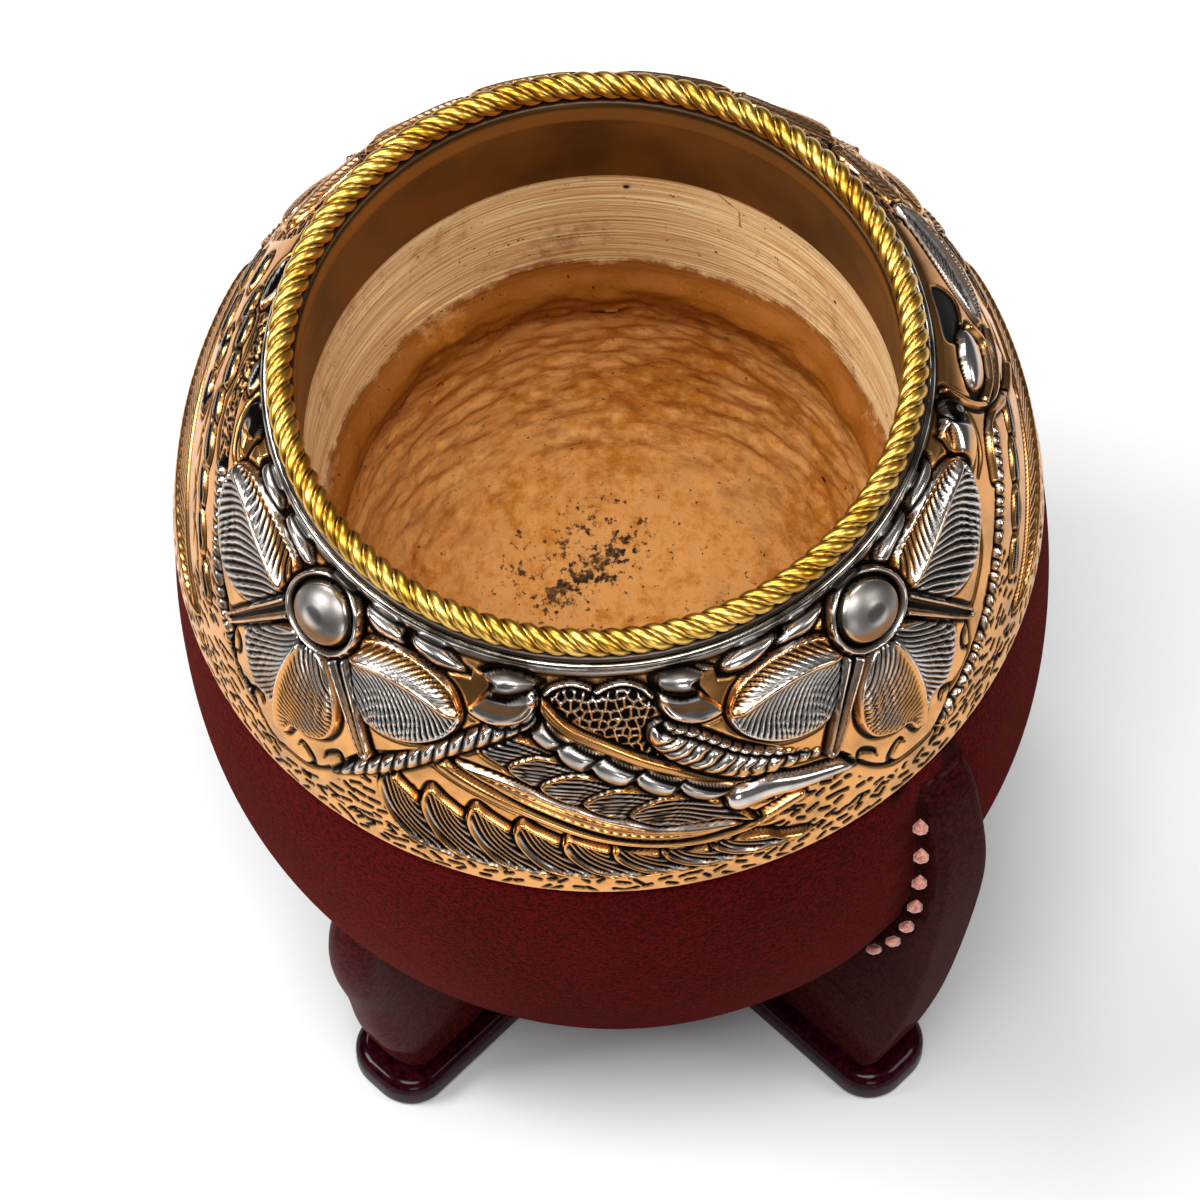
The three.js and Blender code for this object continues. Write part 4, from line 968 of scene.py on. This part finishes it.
# The warm colour is the gilt of the bare sheet and also the painted reflection on silver that faces down
metal_clean = add(tree, "Mix", {"data_type": "RGBA", 6: linear("#D0CAC4"), 7: linear("#D89A5A")},
                  {"Factor": gilt_share})
clouds = add(tree, "TexNoise", {"Scale": 170, "Detail": 4, "Roughness": 0.6}, {"Vector": place})
cloud_share = add(tree, "MapRange", {"From Min": 0.46, "From Max": 0.68, "To Max": 0.42},
                  {"Value": clouds.outputs[0]})
metal_tone = add(tree, "Mix", {"data_type": "RGBA", 7: linear("#3A2E24")},
                 {"Factor": cloud_share.outputs[0], 6: metal_clean.outputs[2]})
metal_dark = add(tree, "Mix", {"data_type": "RGBA", 7: linear("#0C0806")},
                 {"Factor": patina_and_shade_share, 6: metal_tone.outputs[2]})
tree.links.new(metal_dark.outputs[2], shader.inputs["Base Color"])
dull = add(tree, "MapRange", {"To Min": 0.2, "To Max": 0.55}, {"Value": patina_and_shade_share})
tree.links.new(dull.outputs[0], shader.inputs["Roughness"])
hammer = add(tree, "Bump", {"Strength": 0.1, "Distance": 0.0001}, {"Height": tarnish.outputs[0]})
tree.links.new(hammer.outputs[0], shader.inputs["Normal"])

for sector in range(SECTORS):
    pick = (np.arange(SECTOR_COLUMNS + 1) + sector * SECTOR_COLUMNS) % columns
    back = turned(back_radius[:, None], back_height[:, None], sheet_azimuth[pick])
    grid = np.concatenate([face_points[:, pick], back])
    piece = surface(f"ferrule_sheet_{sector + 1}", grid, around=False, along=True, caps="columns")
    back_normals = -face_normals[np.linspace(FERRULE_ROWS - 1, 0, len(back)).astype(int)][:, pick]
    normals = np.concatenate([face_normals[:, pick], back_normals])
    piece.data.normals_split_custom_set_from_vertices(normals.reshape(-1, 3))
    blank = np.zeros(back.shape[:2])
    paint(piece, gilt=np.concatenate([gilt[:, pick], blank]),
          patina=np.concatenate([patina[:, pick], blank]))
    piece.data.materials.append(silver_sheet)
    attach(piece, "root")
    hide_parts("ferrule")

# The bead wire: a half-hard silver wire, soldered where the ferrule meets the rope.
WIRE_RADIUS, WIRE_HEIGHT, WIRE_THICKNESS = 34.75, 115.25, 1.0
wire_turn = np.radians(np.arange(16) * 360 / 16)
wire_azimuth = np.arange(480) * 360 / 480
wire = surface("bead_wire", turned(
    WIRE_RADIUS + WIRE_THICKNESS / 2 * np.sin(wire_turn)[:, None],
    WIRE_HEIGHT + WIRE_THICKNESS / 2 * np.cos(wire_turn)[:, None], wire_azimuth), along=True)
# Drawn silver wire: the smoothest metal here, grey in patches
wire_metal, tree, shader = material("drawn_silver_wire", {"Metallic": 1.0, "Roughness": 0.16})
place = add(tree, "TexCoord").outputs["Object"]
grime = add(tree, "TexNoise", {"Scale": 300, "Detail": 3}, {"Vector": place})
grime_tone = add(tree, "MapRange", {"From Min": 0.4, "From Max": 0.65}, {"Value": grime.outputs[0]})
colour = add(tree, "Mix", {"data_type": "RGBA", 6: linear("#645C54"), 7: linear("#BCB8B2")},
             {"Factor": grime_tone.outputs[0]})
tree.links.new(colour.outputs[2], shader.inputs["Base Color"])
wire.data.materials.append(wire_metal)
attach(wire, "root")
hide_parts("rim_wire")

# The solder seam: a fillet of solder that fills the corner between wire, flange and rope. It has gone grey,
# and is painted black where it meets the rope, as shadow under the rope.
SEAM_RADIUS, SEAM_HEIGHT, SEAM_HALF_WIDTH, SEAM_HALF_HEIGHT = 34.0, 115.95, 0.62, 0.36
seam = surface("solder_seam", turned(
    SEAM_RADIUS + SEAM_HALF_WIDTH * np.sin(wire_turn)[:, None],
    SEAM_HEIGHT + SEAM_HALF_HEIGHT * np.cos(wire_turn)[:, None], wire_azimuth), along=True)
# Painted shadow: the seam's side against the rope is darkened nearly to black
near_rope = step(np.sin(wire_turn), 0.1, -0.4)[:, None] + 0 * wire_azimuth
paint(seam, near_rope=near_rope)
solder, tree, shader = material("tarnished_solder", {"Metallic": 1.0, "Roughness": 0.35})
shadow_share = add(tree, "Attribute", {"attribute_name": "near_rope"}).outputs["Fac"]
colour = add(tree, "Mix", {"data_type": "RGBA", 6: linear("#3C342E"), 7: linear("#100A06")},
             {"Factor": shadow_share})
tree.links.new(colour.outputs[2], shader.inputs["Base Color"])
seam.data.materials.append(solder)
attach(seam, "root")
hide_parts("rim_wire")

# The rope: three thick gilt wires twisted with three thin ones, drawn through a plate so that they
# lie close, bent into a ring and soldered over the edge of the mouth. It is one piece.
ROPE_RADIUS, ROPE_HEIGHT, ROPE_REACH, ROPE_TWISTS = 33.17, 117.6, 1.47, 32
THICK_SHARE, THICK_BULGE, THIN_BULGE = 0.78, 0.5, 0.14
ROPE_SIDES, ROPE_STEPS = 60, 1536

# The mesh is twisted with the wires, so that each of its rows runs along one wire. A wire's arch is
# the square root of 1 less the square of the place across it, which goes from -1 to 1.
start = np.arange(ROPE_SIDES)[:, None] / ROPE_SIDES
rope_azimuth = np.arange(ROPE_STEPS) * 360 / ROPE_STEPS
section = 2 * np.pi * (start + ROPE_TWISTS * rope_azimuth / 360)
wound = (3 * (0.25 - start) + THICK_SHARE / 2) % 1 + 0 * rope_azimuth
in_thick = wound < THICK_SHARE
across_wire = np.where(in_thick, wound / THICK_SHARE, (wound - THICK_SHARE) / (1 - THICK_SHARE))
arch = np.sqrt(1 - (2 * across_wire - 1) ** 2)
rope_reach = ROPE_REACH - THICK_BULGE + np.where(in_thick, THICK_BULGE, THIN_BULGE) * arch
rope = surface("rope_ring", turned(ROPE_RADIUS + rope_reach * np.sin(section),
                                   ROPE_HEIGHT + rope_reach * np.cos(section), rope_azimuth), along=True)
# Painted shade: each wire's edges, where it meets the next wire, are marked for darkening
paint(rope, groove=1 - step(arch, 0.3, 0.75))
# Gilt brass wire: warm, fairly bright yellow on its back, and painted dark in the grooves between the wires
# as shade
gilt_wire, tree, shader = material("gilt_brass_wire", {"Metallic": 1.0, "Roughness": 0.33})
place = add(tree, "TexCoord").outputs["Object"]
tint = add(tree, "TexNoise", {"Scale": 200, "Detail": 3}, {"Vector": place})
tint_tone = add(tree, "MapRange", {"From Min": 0.35, "From Max": 0.65}, {"Value": tint.outputs[0]})
colour = add(tree, "Mix", {"data_type": "RGBA", 6: linear("#C08A2C"), 7: linear("#EEC060")},
             {"Factor": tint_tone.outputs[0]})
groove = add(tree, "Attribute", {"attribute_name": "groove"}).outputs["Fac"]
shaded_grooves = add(tree, "Mix", {"data_type": "RGBA", 7: linear("#1C0E04")},
              {"Factor": groove, 6: colour.outputs[2]})
tree.links.new(shaded_grooves.outputs[2], shader.inputs["Base Color"])
rope.data.materials.append(gilt_wire)
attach(rope, "root")
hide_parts("rope_rim")

# The base plate: four round-ended arms cut from thick sole leather, their edges rounded, waxed
# and polished until they shine.
PLATE_THICKNESS, ARM_HALF_WIDTH, ARM_REACH = 4.3, 5.8, 43.0
ARM_CORNER, ARM_FILLET = 4.6, 12.0
BASE_TURN = 1.0


def plate_outline():
    """The cross's outline, arm by arm: two round corners and the hollow fillet to the next arm."""
    flat, hollow_ = ARM_HALF_WIDTH - ARM_CORNER, ARM_HALF_WIDTH + ARM_FILLET
    quarter = np.radians(np.linspace(0, 90, 15))
    points = []
    for arm in range(4):
        turn = math.radians(45 + 90 * arm + BASE_TURN)
        x = np.concatenate([ARM_REACH - ARM_CORNER + ARM_CORNER * np.sin(quarter),
                            ARM_REACH - ARM_CORNER + ARM_CORNER * np.cos(quarter),
                            hollow_ - ARM_FILLET * np.sin(quarter)])
        y = np.concatenate([-flat - ARM_CORNER * np.cos(quarter), flat + ARM_CORNER * np.sin(quarter),
                            hollow_ - ARM_FILLET * np.cos(quarter)])
        points.append(np.stack([x * math.cos(turn) - y * math.sin(turn),
                                x * math.sin(turn) + y * math.cos(turn)], -1))
    return np.concatenate(points)


outline = plate_outline()
ahead = np.roll(outline, -1, 0) - np.roll(outline, 1, 0)
square = np.stack([ahead[:, 1], -ahead[:, 0]], -1) / np.linalg.norm(ahead, axis=1, keepdims=True)
bend = np.radians(np.linspace(0, 90, 7))
inset = np.concatenate([1.6 * (1 - np.sin(bend)), 0.9 * (1 - np.cos(bend))])
level = np.concatenate([PLATE_THICKNESS - 1.6 * (1 - np.cos(bend)), 0.9 * (1 - np.sin(bend))])
plate_points = np.concatenate([np.broadcast_to(outline - square * i, outline.shape)[None] for i in inset])
plate_heights = np.broadcast_to(level[:, None, None], plate_points.shape[:2] + (1,))
plate_points = np.concatenate([plate_points, plate_heights], -1)
plate = surface("base_cross", plate_points, caps="rows")
# Sole leather, waxed and polished with a bone: nearly black, with a coarse grain under a gloss
wax = leather_material("leather_sole_waxed", "#2E060C", "#140206", 0.7, 0.3, 0.0, 0.9, 0.0, 0.5)
plate.data.materials.append(wax)
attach(plate, "root")
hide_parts("base_plate")

# The legs: each is a stack of sole leather, 7 mm thick, glued, trimmed and burnished, that stands
# on an arm of the base and leans on the cup. Three are short, with a knob at the knee.
LEG_THICKNESS = 7.0
LEG_HEEL_RADIUS = 4.5
KNEE = [(39.7, 4.4), (41.5, 9), (43.6, 17), (45.2, 26), (46.9, 34), (47.4, 40), (46.7, 45.5), (44.6, 49.6)]
TALL_EDGE = [(39.7, 4.4), (41.6, 9.3), (45.3, 26.7), (48.4, 50), (49.3, 66), (47.6, 79), (45.2, 83.6)]


def leg(name, azimuth, outer_edge, sink, rounding, steps=90):
    """A slab between its outer edge and the cup: at each height its section is a rectangle from
    just inside the leather to the outer edge, whose outer corners are rounded by an amount that
    follows the height."""
    outer = smooth_line(outer_edge, steps=16)
    walked_ = np.concatenate([[0], np.cumsum(np.hypot(*np.diff(outer, axis=0).T))])
    share = np.linspace(0, 1, steps)
    out_r = np.interp(share * walked_[-1], walked_, outer[:, 0])
    out_z = np.interp(share * walked_[-1], walked_, outer[:, 1])
    turn = math.radians(azimuth)
    skin_r, skin_z = skin(np.linspace(SKIN_LENGTH, 30, 400), -sink)
    spots = turned(skin_r, skin_z, azimuth)
    rim_r = spots[:, 0] * math.sin(turn) - spots[:, 1] * math.cos(turn)
    rim_z = spots[:, 2]
    top = int(np.argmin(np.hypot(rim_r - out_r[-1] + 1.2, rim_z - out_z[-1])))
    heel = np.array([(LEG_HEEL_RADIUS, out_z[0]), (LEG_HEEL_RADIUS, rim_z[8])])
    inner = np.concatenate([heel, np.stack([rim_r[12:top], rim_z[12:top]], -1)])
    inner_walk = np.concatenate([[0], np.cumsum(np.hypot(*np.diff(inner, axis=0).T))])
    in_r = np.interp(share * inner_walk[-1], inner_walk, inner[:, 0])
    in_z = np.interp(share * inner_walk[-1], inner_walk, inner[:, 1])
    depth = np.hypot(out_r - in_r, out_z - in_z)
    corner = np.minimum(rounding(out_z), depth * 0.9)
    bend_ = np.radians(np.linspace(0, 90, 9))
    half = LEG_THICKNESS / 2
    swell = np.clip(corner, 0, half)
    across = np.concatenate([[-half + 0 * corner], -half + swell * (1 - np.cos(bend_))[:, None],
                             half - swell * (1 - np.sin(bend_))[:, None], [half + 0 * corner]])
    back_off = np.concatenate([[depth], corner * (1 - np.sin(bend_))[:, None],
                               corner * (1 - np.cos(bend_))[:, None], [depth]])
    unit_r, unit_z = (out_r - in_r) / depth, (out_z - in_z) / depth
    r, z = out_r - back_off * unit_r, out_z - back_off * unit_z
    points = np.stack([r * math.sin(turn) + across * math.cos(turn),
                       -r * math.cos(turn) + across * math.sin(turn), z], -1)
    return surface(name, points.transpose(1, 0, 2)[::-1], caps="rows")


def short_rounding(z):
    """How far a short leg's outer corners are rounded at a height: nearly half its thickness up at
    the knee, and less at the foot."""
    return 2.5 + 0.95 * step(z, 14, 30)


def tall_rounding(z):
    """How far the tall leg's outer corners are rounded at a height: most of all near its top."""
    return 0.8 + 0.9 * step(z, 60, 78)


# Burnished sole leather: brown-red, smooth, with a slight gloss of wax
burnished = leather_material("leather_stack_burnished", "#481210", "#280608", 0.6, 0.4, 0.0, 0.25,
                             0.03, 0.14)
for place_name, azimuth in (("front_left", -44), ("back_left", -134), ("back_right", 136)):
    piece = leg(f"short_leg_{place_name}", azimuth, KNEE, 1.0, short_rounding)
    piece.data.materials.append(burnished)
    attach(piece, "root")
    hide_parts(f"leg_{place_name}")

# The tall leg: the same stack, cut thin and high, with a raw grained face at the side. Its top
# is tucked under the ferrule and the leather's seam is sewn along it.
# Cut sole leather: brown, matt and rough, with nearly no wax
side_leather = leather_material("leather_stack_cut_face", "#3A0F10", "#1E0608", 0.55, 0.4, 0.0, 0.6,
                                0.05, 0.06)
tall = leg("tall_leg_front_right", SEAM_AZIMUTH, TALL_EDGE, 1.0, tall_rounding, 140)
tall.data.materials.append(side_leather)
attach(tall, "root")
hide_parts("leg_front_right_seam")

# The stitches: coppery waxed thread, pulled through punched holes, each one a short drop that is
# pointed at its top.
STITCH_LENGTH, STITCH_WIDTH, STITCH_THICKNESS = 3.2, 2.2, 1.5
# Waxed cotton thread, copper pink: matt, with a soft bloom, and lighter and darker fibres
thread, tree, shader = material("waxed_copper_thread", {"Roughness": 0.5, "Sheen Weight": 0.4,
                                                        "Sheen Roughness": 0.4})
place = add(tree, "TexCoord").outputs["Object"]
fibre = add(tree, "TexNoise", {"Scale": 2200, "Detail": 2}, {"Vector": place})
fibre_tone = add(tree, "MapRange", {"From Min": 0.35, "From Max": 0.65}, {"Value": fibre.outputs[0]})
colour = add(tree, "Mix", {"data_type": "RGBA", 6: linear("#9A4A38"), 7: linear("#D99078")},
             {"Factor": fibre_tone.outputs[0]})
tree.links.new(colour.outputs[2], shader.inputs["Base Color"])
for side_name, count in STITCH_COUNTS:
    nodes = [f"stitch_{side_name}_{k}" for k in range(1, count + 1)]
    middles = np.array([[(a + b) * 500 for a, b in zip(*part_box(node))] for node in nodes])
    along = np.gradient(middles, axis=0)
    along /= np.linalg.norm(along, axis=1, keepdims=True)
    turn = math.radians(SEAM_AZIMUTH)
    leg_side = (-1 if side_name == "left" else 1) * np.array([math.cos(turn), math.sin(turn), 0])
    outward = np.cross(along, leg_side)
    outward *= np.sign((outward * middles * [1, 1, 0]).sum(1, keepdims=True))
    facing = outward / np.linalg.norm(outward, axis=1, keepdims=True) + leg_side
    facing /= np.linalg.norm(facing, axis=1, keepdims=True)
    crosswise = np.cross(along, facing)
    v = np.linspace(0, 1, 13)[:, None]
    u = 2 * np.pi * np.arange(16) / 16
    fat = np.sqrt(np.clip(np.sin(np.pi * v ** 1.5), 0, 1)) * (0.3 + 0.7 * v)
    twist = 1 + 0.07 * np.cos(6 * u + 5 * v)
    for k, node in enumerate(nodes):
        local = (middles[k] + along[k] * ((v - 0.5) * STITCH_LENGTH)[..., None]
                 + crosswise[k] * (fat * twist * np.cos(u) * STITCH_WIDTH / 2)[..., None]
                 + facing[k] * (fat * twist * np.sin(u) * STITCH_THICKNESS / 2)[..., None])
        piece = surface(f"thread_{side_name}_{k + 1}", local)
        close_poles(piece)
        piece.data.materials.append(thread)
        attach(piece, "root")
        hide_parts(node)

# The studio: a pale floor, a window behind on the left, large soft lights overhead and at the left,
# weak ones in front and at the right, and a dim surround.
floor_mesh = bpy.data.meshes.new("floor")
floor_mesh.from_pydata([(-3, -3, 0), (3, -3, 0), (3, 3, 0), (-3, 3, 0)], [], [(0, 1, 2, 3)])
floor = bpy.data.objects.new("floor", floor_mesh)
bpy.context.scene.collection.objects.link(floor)
floor_paint, tree, shader = material("pale_floor", {"Base Color": (0.66, 0.66, 0.66, 1), "Roughness": 0.8})
floor_mesh.materials.append(floor_paint)


def softbox(name, place, size, power, colour=(1, 1, 1)):
    """A square light of the given size that faces the cup's mouth."""
    light = bpy.data.lights.new(name, "AREA")
    light.size, light.energy, light.color = size, power, colour
    lamp = bpy.data.objects.new(name, light)
    lamp.location = place
    lamp.rotation_euler = (Vector((0, 0, 0.07)) - Vector(place)).to_track_quat("-Z", "Y").to_euler()
    bpy.context.scene.collection.objects.link(lamp)


# The window behind is six panes with dark bars between them, which the domes mirror.
for column in range(3):
    for row in range(2):
        softbox(f"window_pane_{column + 1}_{row + 1}",
                (-0.46 + 0.17 * column, 0.5 + 0.1 * row, 1.0 - 0.12 * row), 0.13, 0.8)
softbox("overhead", (-0.04, -0.34, 1.2), 0.5, 12.5)
softbox("front", (0.15, -1.2, 0.45), 0.4, 2.5)
softbox("left", (-0.8, -0.1, 0.85), 0.4, 11)
softbox("right", (0.8, -0.15, 0.85), 0.4, 4)
world = bpy.data.worlds.new("surround")
world.use_nodes = True
world.node_tree.nodes["Background"].inputs["Color"].default_value = (0.95, 0.97, 1.0, 1)
world.node_tree.nodes["Background"].inputs["Strength"].default_value = 0.1
bpy.context.scene.world = world
bpy.context.scene.view_settings.view_transform = "Standard"
